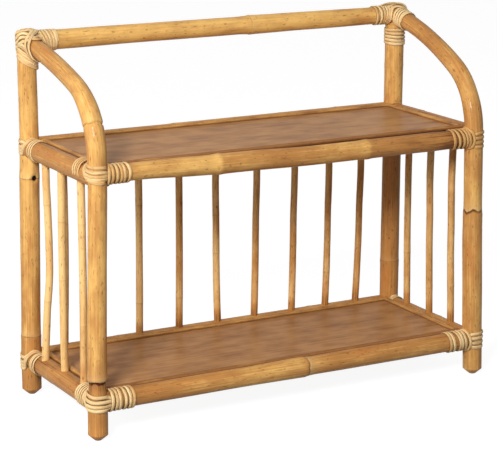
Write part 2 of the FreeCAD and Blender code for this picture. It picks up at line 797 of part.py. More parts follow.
def top_binding(side):
    name = f"binding_top_{side}"
    x = REAR_X[side]
    corner = Vector(amount(x), size("half_depth"), size("top_rail_height"))
    along_rail = ALONG_X if side == "left" else AGAINST_X
    arm_end = arm_end_placement(side)
    on_rail = turns(f"{name}_on_rail", TOP_TURNS, "first_turn")
    place(on_rail, x, REAR, "sizes.top_rail_height", along_rail)
    on_post = turns(f"{name}_on_post", POST_TURNS, "first_post_turn")
    place(on_post, x, REAR, "sizes.top_rail_height", DOWN)
    on_arm = turns(f"{name}_on_arm", ARM_TURNS[side], "first_arm_turn", size("pole_radius") / 2)
    on_arm.Placement = arm_end
    knuckle = doc.addObject("Part::Sphere", f"{name}_corner")
    knuckle.setExpression("Radius", "sizes.crossing_radius")
    place(knuckle, x, REAR, "sizes.top_rail_height")
    crossings = [
        crossing(f"{name}_along_rail", Placement(corner, along_rail)),
        crossing(f"{name}_along_post", Placement(corner, DOWN)),
        crossing(f"{name}_along_arm", arm_end),
    ]
    wound = fuse(f"{name}_wound", [on_rail, on_post, on_arm, knuckle] + crossings)
    return cut(name, wound, [rear_posts[side], top_rail, front_posts[side]])


for side in ("left", "right"):
    top_binding(side)

doc.recompute()

for obj in doc.Objects:
    if "Invalid" in obj.State or "Error" in obj.State:
        raise RuntimeError(f"{obj.Name} did not compute: {obj.State}")
for obj in NODES:
    if obj.Shape.isNull() or not obj.Shape.isValid():
        raise RuntimeError(f"{obj.Label} has no valid shape")

os.makedirs("parts", exist_ok=True)
for obj in NODES:
    obj.Shape.exportStep(f"parts/{obj.Label}.step")
    print(f"{obj.Label:32s} solids {len(obj.Shape.Solids):3d}  volume {obj.Shape.Volume:10.0f} mm3")
print(len(NODES), "nodes")
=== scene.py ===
# %% [markdown]
# # A rattan magazine rack
#
# The rack is a frame of peeled and lacquered rattan poles. Thin spindles stand between its two
# shelves, split cane beads hide the edges of the boards, and flat cane binds every joint. Rattan is
# never quite straight or round, so nearly every piece is remade here as a grown thing. It keeps the
# place that the construction model gives it, and gains growth rings, bumps, fibres and colour.
#
# Pieces are described in millimetres, and one number turns them into metres when a mesh is made.
# Blender works in metres, and so do the numbers inside the node trees, the lamps and the camera.

# %% Load the construction model
import math
import random

import bmesh
import bpy
import numpy as np
from mathutils import Matrix, Vector


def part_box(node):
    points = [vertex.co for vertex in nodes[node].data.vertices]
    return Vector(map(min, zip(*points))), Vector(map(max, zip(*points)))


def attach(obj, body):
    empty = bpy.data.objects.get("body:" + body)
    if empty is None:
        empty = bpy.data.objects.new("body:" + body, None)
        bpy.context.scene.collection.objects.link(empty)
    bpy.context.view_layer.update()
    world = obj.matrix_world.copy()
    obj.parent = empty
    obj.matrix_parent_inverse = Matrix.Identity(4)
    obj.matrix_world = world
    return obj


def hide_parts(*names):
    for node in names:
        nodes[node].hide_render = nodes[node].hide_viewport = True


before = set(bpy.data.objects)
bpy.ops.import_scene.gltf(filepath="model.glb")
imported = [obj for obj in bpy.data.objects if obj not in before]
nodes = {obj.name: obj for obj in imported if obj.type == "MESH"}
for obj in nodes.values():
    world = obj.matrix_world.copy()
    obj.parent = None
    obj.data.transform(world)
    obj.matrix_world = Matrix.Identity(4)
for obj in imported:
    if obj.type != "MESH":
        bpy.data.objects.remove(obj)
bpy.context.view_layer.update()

MM = 0.001
print(len(nodes), "pieces in the construction model")


def add_to_scene(name, data):
    """A new object with this data, linked to the scene."""
    thing = bpy.data.objects.new(name, data)
    bpy.context.scene.collection.objects.link(thing)
    return thing


# %% [markdown]
# ## The camera
#
# A long lens a little above the rack, off to its left, shows the front, the left side and the tops
# of both boards. The camera looks slightly down, and its frame is shifted a little to centre the
# rack.

# %% Camera
CAMERA_PLACE = Vector((-1.2267, -2.1776, 0.8254))
CAMERA_YAW = math.radians(29.25)
CAMERA_PITCH = math.radians(13.63)
CAMERA_ROLL = math.radians(0.25)
SENSOR = 36.0
LENS = 145.4
SHIFT = (-0.0044, -0.0111)  # of the frame, in widths of the picture

forward = Vector((
    math.sin(CAMERA_YAW) * math.cos(CAMERA_PITCH),
    math.cos(CAMERA_YAW) * math.cos(CAMERA_PITCH),
    -math.sin(CAMERA_PITCH),
))
level_right = Vector((math.cos(CAMERA_YAW), -math.sin(CAMERA_YAW), 0.0))
level_up = level_right.cross(forward)
right = level_right * math.cos(CAMERA_ROLL) + level_up * math.sin(CAMERA_ROLL)
up = right.cross(forward)
camera_data = bpy.data.cameras.new("camera")
camera_data.sensor_width = SENSOR
camera_data.lens = LENS
camera_data.shift_x, camera_data.shift_y = SHIFT
camera_data.clip_end = 100
camera = add_to_scene("camera", camera_data)
turn = Matrix((right, up, -forward)).transposed().to_4x4()
camera.matrix_world = Matrix.Translation(CAMERA_PLACE) @ turn
bpy.context.scene.camera = camera
bpy.context.scene.view_settings.view_transform = "Standard"
print("camera looks along", [round(v, 3) for v in forward])

# %% [markdown]
# ## A short way to write node trees
#
# Materials and Geometry Nodes are both trees of small steps. Tree.add makes one step and hands back
# one of its outputs as a Value. Values are added, subtracted and multiplied as numbers are, and
# each such sum becomes a step of its own. A value given to a step may be a number, a vector or an
# earlier Value.


# %% Node tree helper
class Value:
    """An output of a node, in sums that make more nodes."""

    def __init__(self, tree, socket):
        self.tree = tree
        self.socket = socket

    def __add__(self, other):
        return self.tree.reckon("ADD", self, other)

    def __sub__(self, other):
        return self.tree.reckon("SUBTRACT", self, other)

    def __rsub__(self, other):
        return self.tree.reckon("SUBTRACT", other, self)

    def __mul__(self, other):
        return self.tree.reckon("MULTIPLY", self, other)


def is_vector(value):
    if isinstance(value, Value):
        return value.socket.type in ("VECTOR", "RGBA")
    return isinstance(value, tuple)


class Tree:
    def __init__(self, tree):
        self.tree = tree

    def add(self, kind, inputs=None, out=0, **settings):
        """One node. Inputs are named, or numbered among those in use, and one output comes back."""
        node = self.tree.nodes.new(kind)
        for name, value in settings.items():
            setattr(node, name, value)
        sockets = [socket for socket in node.inputs if socket.enabled]
        names = [socket.name for socket in sockets]
        for key, value in (inputs or {}).items():
            socket = sockets[key if isinstance(key, int) else names.index(key)]
            if isinstance(value, Value):
                self.tree.links.new(value.socket, socket)
            else:
                socket.default_value = value
        outputs = [socket for socket in node.outputs if socket.enabled]
        return Value(self, outputs[out]) if outputs else node

    def math(self, operation, *values, clamp=False):
        inputs = dict(enumerate(values))
        return self.add("ShaderNodeMath", inputs, operation=operation, use_clamp=clamp)

    def vector(self, operation, *values):
        return self.add("ShaderNodeVectorMath", dict(enumerate(values)), operation=operation)

    def reckon(self, operation, first, second):
        """A sum of two numbers or of two vectors, or a vector times a number."""
        if not is_vector(first):
            return self.math(operation, first, second)
        if is_vector(second):
            return self.vector(operation, first, second)
        inputs = {"Vector": first, "Scale": second}
        return self.add("ShaderNodeVectorMath", inputs, operation="SCALE")

    def combine(self, x=0.0, y=0.0, z=0.0):
        return self.add("ShaderNodeCombineXYZ", {"X": x, "Y": y, "Z": z})

    def noise(self, vector, detail=2.0, out=0):
        inputs = {"Vector": vector, "Scale": 1.0, "Detail": detail}
        return self.add("ShaderNodeTexNoise", inputs, out=out)

    def ramp(self, value, low, high, to_low=0.0, to_high=1.0):
        """Follow a value smoothly from one range into another."""
        inputs = {"Value": value, 1: low, 2: high, 3: to_low, 4: to_high}
        return self.add("ShaderNodeMapRange", inputs, interpolation_type="SMOOTHSTEP")

    def bell(self, distance, width):
        """1 where the distance is 0, falling to nothing past the width."""
        ratio = self.math("DIVIDE", distance, width)
        return self.math("EXPONENT", ratio * ratio * -1.0)


def new_material(name):
    material = bpy.data.materials.new(name)
    material.use_nodes = True
    material.node_tree.nodes.clear()
    return material, Tree(material.node_tree)


print("node helper is ready")

# %% [markdown]
# ## Light
#
# The key lamp hangs in front of the rack, to the left, so poles are bright on the side that faces
# it and turn brown on the right and below. Its reflection makes the highlights on the bent arms.
# Two wider and weaker lamps, at the left and overhead, soften its shadows.

# %% Lamps
RACK_MIDDLE = Vector((0.0, 0.0, 0.24))
LAMPS = {  # place and size in metres, and watts
    "key_lamp": ((-1.7, -1.75, 1.5), 0.6, 57),
    "left_lamp": ((-2.5, -0.5, 0.8), 1.2, 20),
    "top_lamp": ((-0.3, -0.9, 2.7), 1.2, 6),
}
for name, (place, size, watts) in LAMPS.items():
    data = bpy.data.lights.new(name, "AREA")
    data.shape = "SQUARE"
    data.size = size
    data.energy = watts
    lamp = add_to_scene(name, data)
    lamp.location = place
    lamp.rotation_euler = (RACK_MIDDLE - Vector(place)).to_track_quat("-Z", "Y").to_euler()
print(len(LAMPS), "lamps are hung")

# %% [markdown]
# ## Room and floor
#
# The rack stands on a pale floor in an even white room. To the eye the room is white, but it lights
# the rack gently. The floor is darker than it looks, so that it throws little light up under the
# shelves, and it still takes the rack's shadow.


# %% Room and floor
def looked_at(tree):
    """1 for light that goes straight to the eye, or by way of a mirror or a glass."""
    camera_ray, glossy_ray, glass_ray = [tree.add("ShaderNodeLightPath", out=i) for i in (0, 3, 6)]
    return tree.math("MAXIMUM", tree.math("MAXIMUM", camera_ray, glossy_ray), glass_ray)


ROOM_LIGHT = 0.19
world = bpy.data.worlds.new("room")
bpy.context.scene.world = world
world.use_nodes = True
world.node_tree.nodes.clear()
room = Tree(world.node_tree)
strength = looked_at(room) * (1.0 - ROOM_LIGHT) + ROOM_LIGHT
light = room.add("ShaderNodeBackground", {"Color": (1, 1, 1, 1), "Strength": strength})
room.add("ShaderNodeOutputWorld", {"Surface": light})

FLOOR_HALF = 12.0
FLOOR_GREY = 0.25
FLOOR_LIFT = 0.92
floor_mesh = bpy.data.meshes.new("floor")
corner_signs = ((-1, -1), (1, -1), (1, 1), (-1, 1))
floor_corners = [(x * FLOOR_HALF, y * FLOOR_HALF, 0.0) for x, y in corner_signs]
floor_mesh.from_pydata(floor_corners, [], [(0, 1, 2, 3)])
floor = add_to_scene("floor", floor_mesh)
floor_paint, paint = new_material("floor_paint")
matt = paint.add("ShaderNodeBsdfDiffuse", {"Color": (FLOOR_GREY, FLOOR_GREY, FLOOR_GREY, 1)})
lift = paint.add("ShaderNodeEmission", {"Strength": looked_at(paint) * FLOOR_LIFT})
both = paint.add("ShaderNodeAddShader", {0: matt, 1: lift})
paint.add("ShaderNodeOutputMaterial", {"Surface": both})
floor_mesh.materials.append(floor_paint)
print("room and floor are ready")

# %% [markdown]
# ## Colours
#
# Rattan runs from pale straw through honey and amber to bark brown. Each colour is named here as a
# painter sees it, and one function turns it into the light that the shader works with.


# %% Colours
def colour(red, green, blue):
    def to_light(value):
        return value / 12.92 if value <= 0.04045 else ((value + 0.055) / 1.055) ** 2.4

    return (to_light(red), to_light(green), to_light(blue), 1.0)


HONEY = colour(0.99, 0.79, 0.46)
PALE_HONEY = colour(0.98, 0.81, 0.54)
AMBER = colour(0.76, 0.53, 0.29)
STRAW = colour(0.98, 0.84, 0.60)
RUSSET = colour(0.82, 0.50, 0.25)
BARK = colour(0.47, 0.28, 0.14)
RING_BROWN = colour(0.34, 0.15, 0.05)
# Painted shade: the near black inside the pit where a side shoot was cut away.
PIT_SHADE = colour(0.10, 0.04, 0.03)
print("amber as light:", [round(part, 3) for part in AMBER[:3]])

# %% [markdown]
# ## The finish of the poles
#
# Peeled rattan is honey coloured, with fine fibres along the pole, cloudy patches and small dark
# flecks. Every pole differs a little in tone, and on the browner ones the fibres show more. At a
# growth ring the skin has a thin dark line, redder just before it and paler just past it. The
# pattern reads coordinates that each pole stores along and around itself, so it follows the bends.
# A clear lacquer lies on top, which is the coat of the shader.


# %% Rattan finish
def attribute(tree, name, out=2):
    """A value that the piece's mesh stores, as a number (output 2) or as a vector (output 1)."""
    return tree.add("ShaderNodeAttribute", out=out, attribute_name=name)


def mix(tree, factor, first, second):
    return tree.add("ShaderNodeMix", {0: factor, 1: first, 2: second}, data_type="RGBA")


def pattern(tree, place, along, across, detail=2.0):
    """Noise stretched along a pole. Along and across say how fine it is, in waves to a metre."""
    return tree.noise(place * (along, across, across), detail)


def bump(tree, strength, depth, height):
    return tree.add("ShaderNodeBump", {"Strength": strength, "Distance": depth, "Height": height})


def finish_material(material, tree, inputs):
    """End a material in one shader."""
    tree.add("ShaderNodeOutputMaterial", {"Surface": tree.add("ShaderNodeBsdfPrincipled", inputs)})
    return material


WORN_FIBRES = 1.8  # how much more the fibres show on a brown pole
RING_LINE = 0.0008  # half the width of the dark line, in metres
REDDER_FADE, PALER_FADE = 110.0, 160.0  # how fast the tints beside a ring fade
# Painted shade: under the lip of a broken ring, the gap is painted dark brown.
GAPE_SHADE_MIDDLE, GAPE_SHADE_WIDTH = 0.0012, 0.0017  # the dark gap under a broken ring


def rattan_finish(name, light, roughness, coat):
    material, tree = new_material(name)
    grain = attribute(tree, "grain", out=1)
    tone = attribute(tree, "tone")
    fibres = pattern(tree, grain, 16, 700, detail=3.0)
    streaks = pattern(tree, grain, 11, 210)
    clouds = pattern(tree, grain, 22, 60, detail=3.0)
    patches = pattern(tree, grain, 60, 140, detail=3.0)
    depth = streaks * 0.35 + fibres * 0.35 + clouds * 0.63 + patches * 0.32 + tone
    depth = depth + (fibres - 0.5) * (tree.math("MAXIMUM", tone, 0.0) * WORN_FIBRES)
    body = mix(tree, tree.ramp(depth, 0.52, 1.12), light, AMBER)
    body = mix(tree, tree.ramp(depth, 1.12, 1.7), body, BARK)
    blush = pattern(tree, grain, 13, 40)
    body = mix(tree, tree.ramp(blush, 0.52, 0.72, 0.0, 0.32), body, RUSSET)
    flecks = pattern(tree, grain, 150, 420, detail=1.0)
    body = mix(tree, tree.ramp(flecks, 0.6, 0.8, 0.0, 0.6), body, BARK)

    ring = attribute(tree, "ring")
    split = attribute(tree, "mark")
    mark = tree.math("MINIMUM", split, 1.0)
    before = tree.math("LESS_THAN", ring, 0.0)
    redder = tree.math("EXPONENT", ring * REDDER_FADE) * before * mark * 0.55
    body = mix(tree, redder, body, AMBER)
    paler = tree.math("EXPONENT", ring * -PALER_FADE) * (1.0 - before) * mark * 0.45
    body = mix(tree, paler, body, STRAW)
    uneven = tree.ramp(pattern(tree, grain, 5, 120), 0.3, 0.6, 0.35, 1.0)
    body = mix(tree, tree.bell(ring, RING_LINE) * uneven * mark, body, RING_BROWN)
    # Painted shade in the gap under a broken ring, where the mark is above 1.
    gape_shade = tree.bell(ring + GAPE_SHADE_MIDDLE, GAPE_SHADE_WIDTH) * (split - mark)
    body = mix(tree, gape_shade * uneven, body, RING_BROWN)
    # Painted shade: the hollow of the pit is painted near black.
    body = mix(tree, tree.ramp(attribute(tree, "pit"), 0.2, 0.5), body, PIT_SHADE)
    return finish_material(material, tree, {
        "Base Color": body, "Roughness": roughness, "Coat Weight": coat, "Coat Roughness": 0.14,
        "Normal": bump(tree, 0.3, 0.0006, clouds * 1.5 + fibres), "Specular IOR Level": 0.05})


pole_finish = rattan_finish("lacquered_rattan", HONEY, 0.5, 0.14)
spindle_finish = rattan_finish("spindle_rattan", PALE_HONEY, 0.55, 0.05)
print("rattan finishes:", pole_finish.name, spindle_finish.name)

# %% [markdown]
# ## Short words for Geometry Nodes
#
# A tree takes in a line, stores numbers on its points, sweeps a section along it, and ends by
# making the result real and giving it a material. A small function for each of these keeps the two
# trees readable.


# %% Geometry Nodes: helpers for a group
def new_group(name, inputs):
    """An empty tree with a geometry coming in and out, and a named input for each size."""
    group = bpy.data.node_groups.new(name, "GeometryNodeTree")
    group.interface.new_socket("Geometry", in_out="INPUT", socket_type="NodeSocketGeometry")
    for label, value in inputs.items():
        kind = "NodeSocketMaterial" if value is None else "NodeSocketFloat"
        socket = group.interface.new_socket(label, in_out="INPUT", socket_type=kind)
        if value is not None:
            socket.default_value = value
    group.interface.new_socket("Geometry", in_out="OUTPUT", socket_type="NodeSocketGeometry")
    tree = Tree(group)
    entry = group.nodes.new("NodeGroupInput")
    given = {socket.name: Value(tree, socket) for socket in entry.outputs if socket.name}
    return group, tree, given


def store(tree, geometry, name, value, kind="FLOAT"):
    inputs = {"Geometry": geometry, "Name": name, "Value": value}
    return tree.add("GeometryNodeStoreNamedAttribute", inputs, data_type=kind, domain="POINT")


def stored(tree, name, kind="FLOAT"):
    return tree.add("GeometryNodeInputNamedAttribute", {"Name": name}, data_type=kind)


def sweep(tree, line, section, scale):
    inputs = {"Curve": line, "Profile Curve": section, "Scale": scale, "Fill Caps": True}
    return tree.add("GeometryNodeCurveToMesh", inputs)


def unit_circle(tree, sides):
    inputs = {"Resolution": sides, "Radius": 1.0}
    return tree.add("GeometryNodeCurvePrimitiveCircle", inputs, mode="RADIUS")


def finish_group(tree, geometry, material):
    geometry = tree.add("GeometryNodeRealizeInstances", {"Geometry": geometry})
    geometry = tree.add("GeometryNodeSetMaterial", {"Geometry": geometry, "Material": material})
    tree.add("NodeGroupOutput", {"Geometry": geometry})


print("group helpers are ready")

# %% [markdown]
# ## A grown pole
#
# A pole is a line with thickness, so Geometry Nodes sweep a circle along it. Noise first gives the
# line a slight crook, most in its middle and none at its ends. Every size is a named input of the
# tree, so one tree grows all the poles.

# %% Geometry Nodes: the line and skin of a pole
POLE_INPUTS = {  # lengths in metres
    "Ring A": -1.0, "Mark A": 0.0, "Step A": 0.0, "Ring B": -1.0, "Mark B": 0.0, "Step B": 0.0,
    "Rise": 0.0003, "Crack": 0.0, "Rag": 0.0004, "Crook": 0.0006, "Lumps": 0.0005, "Foot": 0.0,
    "Round top": 0.0, "Pit along": -1.0, "Pit angle": 0.0, "Spacing": 0.0015, "Seed": 0.0,
    "Material": None,
}
POLE_SIDES = 40
CROOK_WAVES = 7.0  # to a metre
pole_group, tree, given = new_group("grown_pole", POLE_INPUTS)
seed_shift = tree.combine(given["Seed"] * 0.731, given["Seed"] * 0.377)
line = tree.add("GeometryNodeMeshToCurve", {"Mesh": given["Geometry"]})
spacing = {"Curve": line, "Length": given["Spacing"]}
line = tree.add("GeometryNodeResampleCurve", spacing, mode="LENGTH")
progress, along = [tree.add("GeometryNodeSplineParameter", out=i) for i in (0, 1)]
line = store(tree, line, "along", along)
wander = tree.noise(tree.combine(along * CROOK_WAVES) + seed_shift * 40.0, out=1) - (0.5, 0.5, 0.5)
wander = wander * (given["Crook"] * 2.0 * tree.math("SINE", progress * math.pi))
line = tree.add("GeometryNodeSetPosition", {"Geometry": line, "Offset": wander})
line = store(tree, line, "axis", tree.add("GeometryNodeInputPosition"), "FLOAT_VECTOR")
line = store(tree, line, "left", tree.add("GeometryNodeSplineLength") - along)
circle = store(tree, unit_circle(tree, POLE_SIDES), "turn", progress * (2 * math.pi))
skin = sweep(tree, line, circle, stored(tree, "thick"))
print("pole tree so far:", len(pole_group.nodes), "nodes")

# %% [markdown]
# ## Growth rings and a pit
#
# A pole has up to two growth rings. The skin stores how far each point is from the nearer one, with
# a ragged edge, and that ring's mark and step. The finish reads the same numbers, so colour and
# shape agree. One post also has a small round pit, where a side shoot was cut away.

# %% Geometry Nodes: what the skin remembers
PIT_SIZE = 0.0034
RAG_WAVES = 1.6  # of the ragged edge, in the width of the pole


def on_circle(turn):
    return tree.combine(0.0, tree.math("COSINE", turn), tree.math("SINE", turn))


along = stored(tree, "along")
thick = stored(tree, "thick")
across = on_circle(stored(tree, "turn"))
grain = tree.combine(along) + across * thick + seed_shift
skin = store(tree, skin, "grain", grain, "FLOAT_VECTOR")

rag = tree.noise(across * RAG_WAVES + seed_shift * 30.0, detail=3.0)
rag = (rag - 0.5) * (given["Rag"] * 4.0)
to_a = along - given["Ring A"] + rag
to_b = along - given["Ring B"] - rag
nearer_b = tree.math("LESS_THAN", tree.math("ABSOLUTE", to_b), tree.math("ABSOLUTE", to_a))
for label, of_a, of_b in (
    ("mark", given["Mark A"], given["Mark B"]),
    ("step", given["Step A"], given["Step B"]),
    ("ring", to_a, to_b),
):
    of_nearer = tree.add("ShaderNodeMix", {0: nearer_b, 1: of_a, 2: of_b}, data_type="FLOAT")
    skin = store(tree, skin, label, of_nearer)

from_pit = (across - on_circle(given["Pit angle"])) * thick
from_pit = from_pit + tree.combine(along - given["Pit along"])
skin = store(tree, skin, "pit", tree.bell(tree.vector("LENGTH", from_pit), PIT_SIZE))
print("pole tree so far:", len(pole_group.nodes), "nodes")

# %% [markdown]
# ## Pushing the skin
#
# Each growth ring is a low swelling, and the pole is a little thicker on one side of it than on the
# other. A broken ring is also a crack. A foot is whittled to a blunt cone, and the top of a rear
# post is rounded over. All of these push the skin in or out, away from the line that it was swept
# on.

# %% Geometry Nodes: rings, lumps, foot and top
SWELL_WIDTH = 0.006
STEP_FADE = 60.0
LUMP_WAVES = (9.0, 30.0, 30.0)  # to a metre, along the pole and across it
CRACK_MIDDLE, CRACK_WIDTH = 0.001, 0.0014
FOOT_HEIGHT = 0.007
TOP_HEIGHT = 0.005
PIT_DEPTH = 0.004
ring = stored(tree, "ring")
swell = tree.bell(ring, SWELL_WIDTH) * given["Rise"]
fade = tree.math("EXPONENT", tree.math("ABSOLUTE", ring) * -STEP_FADE)
step = tree.math("SIGN", ring) * (stored(tree, "step") * fade)
crack = tree.bell(ring + CRACK_MIDDLE, CRACK_WIDTH) * given["Crack"]
lumps = tree.noise(stored(tree, "grain", "FLOAT_VECTOR") * LUMP_WAVES)
lumps = (lumps - 0.5) * (given["Lumps"] * 2.0)
foot = (1.0 - tree.math("DIVIDE", along, FOOT_HEIGHT, clamp=True)) * given["Foot"]
to_top = 1.0 - tree.math("DIVIDE", stored(tree, "left"), TOP_HEIGHT, clamp=True)
top = (1.0 - tree.math("SQRT", 1.0 - to_top * to_top)) * given["Round top"]
push = swell + step + lumps - crack - foot - top - stored(tree, "pit") * PIT_DEPTH
outward = tree.add("GeometryNodeInputPosition") - stored(tree, "axis", "FLOAT_VECTOR")
outward = tree.vector("NORMALIZE", outward)
skin = tree.add("GeometryNodeSetPosition", {"Geometry": skin, "Offset": outward * push})
finish_group(tree, skin, given["Material"])
print("pole tree:", len(pole_group.nodes), "nodes")

# %% [markdown]
# ## Running a tree
#
# The line of each piece is a mesh of points joined in a row. A modifier runs the tree on it once,
# the result is kept as a plain mesh, and the line is thrown away. What a point stores, such as the
# outward direction of a strand, travels with it.


# %% Lines in, plain meshes out
def line_mesh(name, rows, extra):
    """A mesh of open rows of points in millimetres, with numbers or vectors stored on them."""
    points = [Vector(point) * MM for row in rows for point in row]
    links = []
    start = 0
    for row in rows:
        links += [(start + i, start + i + 1) for i in range(len(row) - 1)]
        start += len(row)
    mesh = bpy.data.meshes.new(name)
    mesh.from_pydata(points, links, [])
    for label, values in extra.items():
        vectors = isinstance(values[0], Vector)
        layer = mesh.attributes.new(label, "FLOAT_VECTOR" if vectors else "FLOAT", "POINT")
        flat = [part for value in values for part in value] if vectors else values
        layer.data.foreach_set("vector" if vectors else "value", flat)
    return mesh


def grow(name, mesh, group, sharp_angle=50, **sizes):
    """Run a tree on a line, and keep what it makes as a piece."""
    holder = add_to_scene(f"{name}_line", mesh)
    modifier = holder.modifiers.new("tree", "NODES")
    modifier.node_group = group
    for socket in group.interface.items_tree:
        key = socket.name.replace(" ", "_").lower()
        if socket.in_out == "INPUT" and key in sizes:
            modifier[socket.identifier] = sizes[key]
    bpy.context.view_layer.update()
    graph = bpy.context.evaluated_depsgraph_get()
    shape = holder.evaluated_get(graph)
    made = bpy.data.meshes.new_from_object(shape, preserve_all_data_layers=True, depsgraph=graph)
    bpy.data.objects.remove(holder)
    made.name = name
    made.shade_smooth()
    made.set_sharp_from_angle(angle=math.radians(sharp_angle))
    return add_to_scene(name, made)


def box(node):
    """The lowest and highest corners of a construction piece, in millimetres."""
    low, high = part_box(node)
    return low / MM, high / MM


def settle(piece, node):
    """The piece takes the place of a construction piece."""
    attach(piece, "root")
    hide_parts(node)


print("top rail box:", [[round(v) for v in corner] for corner in box("top_rail")])

# %% [markdown]
# ## Describing a pole
#
# A pole's looks are stops along it: a place in millimetres and a value there, eased from one stop
# to the next. Thick is its radius, tone makes it browner, and drift carries it off its middle line.
# A ring is a place, how strong its mark is and how far the radius steps there.


# %% Stops and poles
POLE_RADIUS = 12.5
FOOT_CUT = 8
TOP_ROUNDING = 5
NO_RING = (-1000, 0.0, 0.0)
NO_PIT = (-1000, 0.0)


def sideways(*stops):
    """Drift to the rack's right, in millimetres."""
    return tuple((place, (amount, 0, 0)) for place, amount in stops)


def upward(*stops):
    return tuple((place, (0, 0, amount)) for place, amount in stops)


def between(stops, along):
    """Ease from stop to stop. A stop is a place along the pole and a value there."""
    if isinstance(stops[0][1], tuple):
        stops = [(place, Vector(value)) for place, value in stops]
    if along <= stops[0][0]:
        return stops[0][1]
    for (start, first), (end, second) in zip(stops, stops[1:]):
        if along <= end:
            part = (along - start) / (end - start)
            return first + (second - first) * (part * part * (3 - 2 * part))
    return stops[-1][1]


def divide(path, step=6.0):
    """The same path with points close together, and how far along it each point is."""
    points = [Vector(path[0])]
    reached = [0.0]
    for start, end in zip(path, path[1:]):
        length = (end - start).length
        count = max(1, round(length / step))
        for i in range(1, count + 1):
            points.append(start.lerp(end, i / count))
            reached.append(reached[-1] + length / count)
    return points, reached


def grow_pole(name, path, seed, rings=(), pit=NO_PIT, thick=((0, POLE_RADIUS),), tones=((0, 0.0),),
              drift=sideways((0, 0)), material=pole_finish, rise=0.25, rag=0.35, crook=0.5,
              lumps=0.45, spacing=1.4, **sizes):
    """A pole along a path, with sizes in millimetres."""
    points, reached = divide(path)
    points = [point + between(drift, place) for point, place in zip(points, reached)]
    marks = {
        "thick": [between(thick, place) * MM for place in reached],
        "tone": [float(between(tones, place)) for place in reached],
    }
    sizes.update(rise=rise, rag=rag, crook=crook, lumps=lumps, spacing=spacing, pit_along=pit[0])
    numbers = {"pit_angle": pit[1], "seed": float(seed)}
    for letter, (place, mark, step) in zip("ab", (*rings, NO_RING, NO_RING)):
        sizes.update({f"ring_{letter}": place, f"step_{letter}": step})
        numbers[f"mark_{letter}"] = mark
    numbers.update((size, value * MM) for size, value in sizes.items())
    return grow(name, line_mesh(name, [points], marks), pole_group, material=material, **numbers)


print("halfway from 0 to 10:", between(((0, 0), (100, 10)), 50))

# %% [markdown]
# ## The straight poles
#
# Rails, rear posts and bearers are straight poles. Each follows the middle of its construction
# piece from end to end. What differs from pole to pole is where its growth rings are, how the rings
# look, and its tone: the front rail of the upper shelf turns browner to the right and has two pale
# swollen rings, and the front rail of the lower shelf has one cracked ring.

# %% Straight poles
STRAIGHT_POLES = {
    "rear_post_left": dict(
        rings=((78, 0.6, -0.2), (283, 0.6, 0.1)), pit=(284, 5.1),
        thick=((0, 12.5), (63, 12.9), (84, 12.7), (113, 12.4), (270, 12.6), (303, 12.1),
               (345, 11.9), (467, 12.0)),
        tones=((0, 0.35), (73, 0.3), (84, 0.1), (270, 0.05), (288, -0.05), (400, -0.02),
               (430, 0.12), (467, 0.12)),
        drift=sideways((0, -2), (240, 0.3), (330, 1.8), (370, 1.6), (420, 0.9), (467, 1.4)),
    ),
    "rear_post_right": dict(
        rings=((110, 0.3, -0.2), (383, 0.1, 0.1)),
        thick=((0, 12.9), (104, 12.9), (254, 12.6), (467, 12.9)),
        # Painted shade: the tone is browner below the upper shelf than above it.
        tones=((0, 0.3), (113, 0.32), (254, 0.38), (333, 0.05), (467, 0.05)),
        drift=sideways((0, 1.8), (250, 1.8), (467, 2.4)),
    ),
    "top_rail": dict(
        rings=((308, 0.35, 0.3),),
        thick=((0, 12.6), (60, 12.3), (150, 11.8), (290, 11.7), (310, 12.4), (400, 12.0),
               (520, 11.4)),
        tones=((0, -0.05), (60, -0.12), (300, -0.05), (315, -0.15), (520, 0.0)),
    ),
    "upper_front_rail": dict(
        rings=((153, 0.0, 0.1), (363, 0.0, 0.1)), rise=0.7,
        thick=((0, 10.3), (50, 10.7), (120, 12.0), (160, 12.4), (330, 12.0), (460, 12.0),
               (495, 11.5)),
        tones=((0, 0.16), (60, 0.0), (110, 0.0), (150, -0.1), (158, 0.15), (200, 0.15), (218, 0.25),
               (285, 0.22), (300, 0.04), (358, 0.0), (372, 0.32), (430, 0.42), (520, 0.8)),
        drift=upward((0, 2.8), (50, 2.6), (170, 0), (300, -2), (520, -2)),
    ),
    "upper_rear_rail": dict(rings=((198, 0.4, 0.2), (443, 0.3, 0.2)), tones=((0, 0.1),)),
    "upper_side_rail_left": dict(rings=((75, 0.0, 0.0),), tones=((0, 0.3), (60, 0.2), (170, 0.3))),
    "upper_side_rail_right": dict(rings=((120, 0.3, 0.2),), tones=((0, 0.4),)),
    "lower_front_rail": dict(
        rings=((283, 0.9, -0.5),), crack=0.8, rag=1.1, rise=0.4,
        thick=((0, 12.1), (200, 12.1), (270, 12.7), (300, 12.0), (520, 12.0)),
        tones=((0, 0.45), (60, 0.35), (200, 0.1), (270, 0.1), (290, 0.25), (400, 0.2), (520, 0.3)),
        drift=upward((0, 1), (250, 1.3), (520, 1.3)),
    ),
    "lower_rear_rail": dict(rings=((115, 0.3, 0.2), (405, 0.3, 0.2)), tones=((0, 0.2),)),
    "lower_side_rail_left": dict(
        rings=((118, 0.2, 0.1),), tones=((0, 0.35), (80, 0.4), (170, 0.45))),
    "lower_side_rail_right": dict(rings=((72, 0.2, 0.1),), tones=((0, 0.3),)),
}
BEARER_TONES = {"lower_bearer_left": 0.3, "lower_bearer_right": 0.25, "upper_bearer_left": 0.2,
                "upper_bearer_right": 0.35}
for name, tone in BEARER_TONES.items():
    STRAIGHT_POLES[name] = dict(thick=((0, 8.2),), drift=upward((0, 0.8)), tones=((0, tone),))


def longest_side(low, high):
    return max(range(3), key=lambda i: high[i] - low[i])


def long_axis(node):
    """The two ends of a straight construction piece's middle line."""
    low, high = box(node)
    start = (low + high) / 2
    end = start.copy()
    longest = longest_side(low, high)
    start[longest] = low[longest]
    end[longest] = high[longest]
    return [start, end]


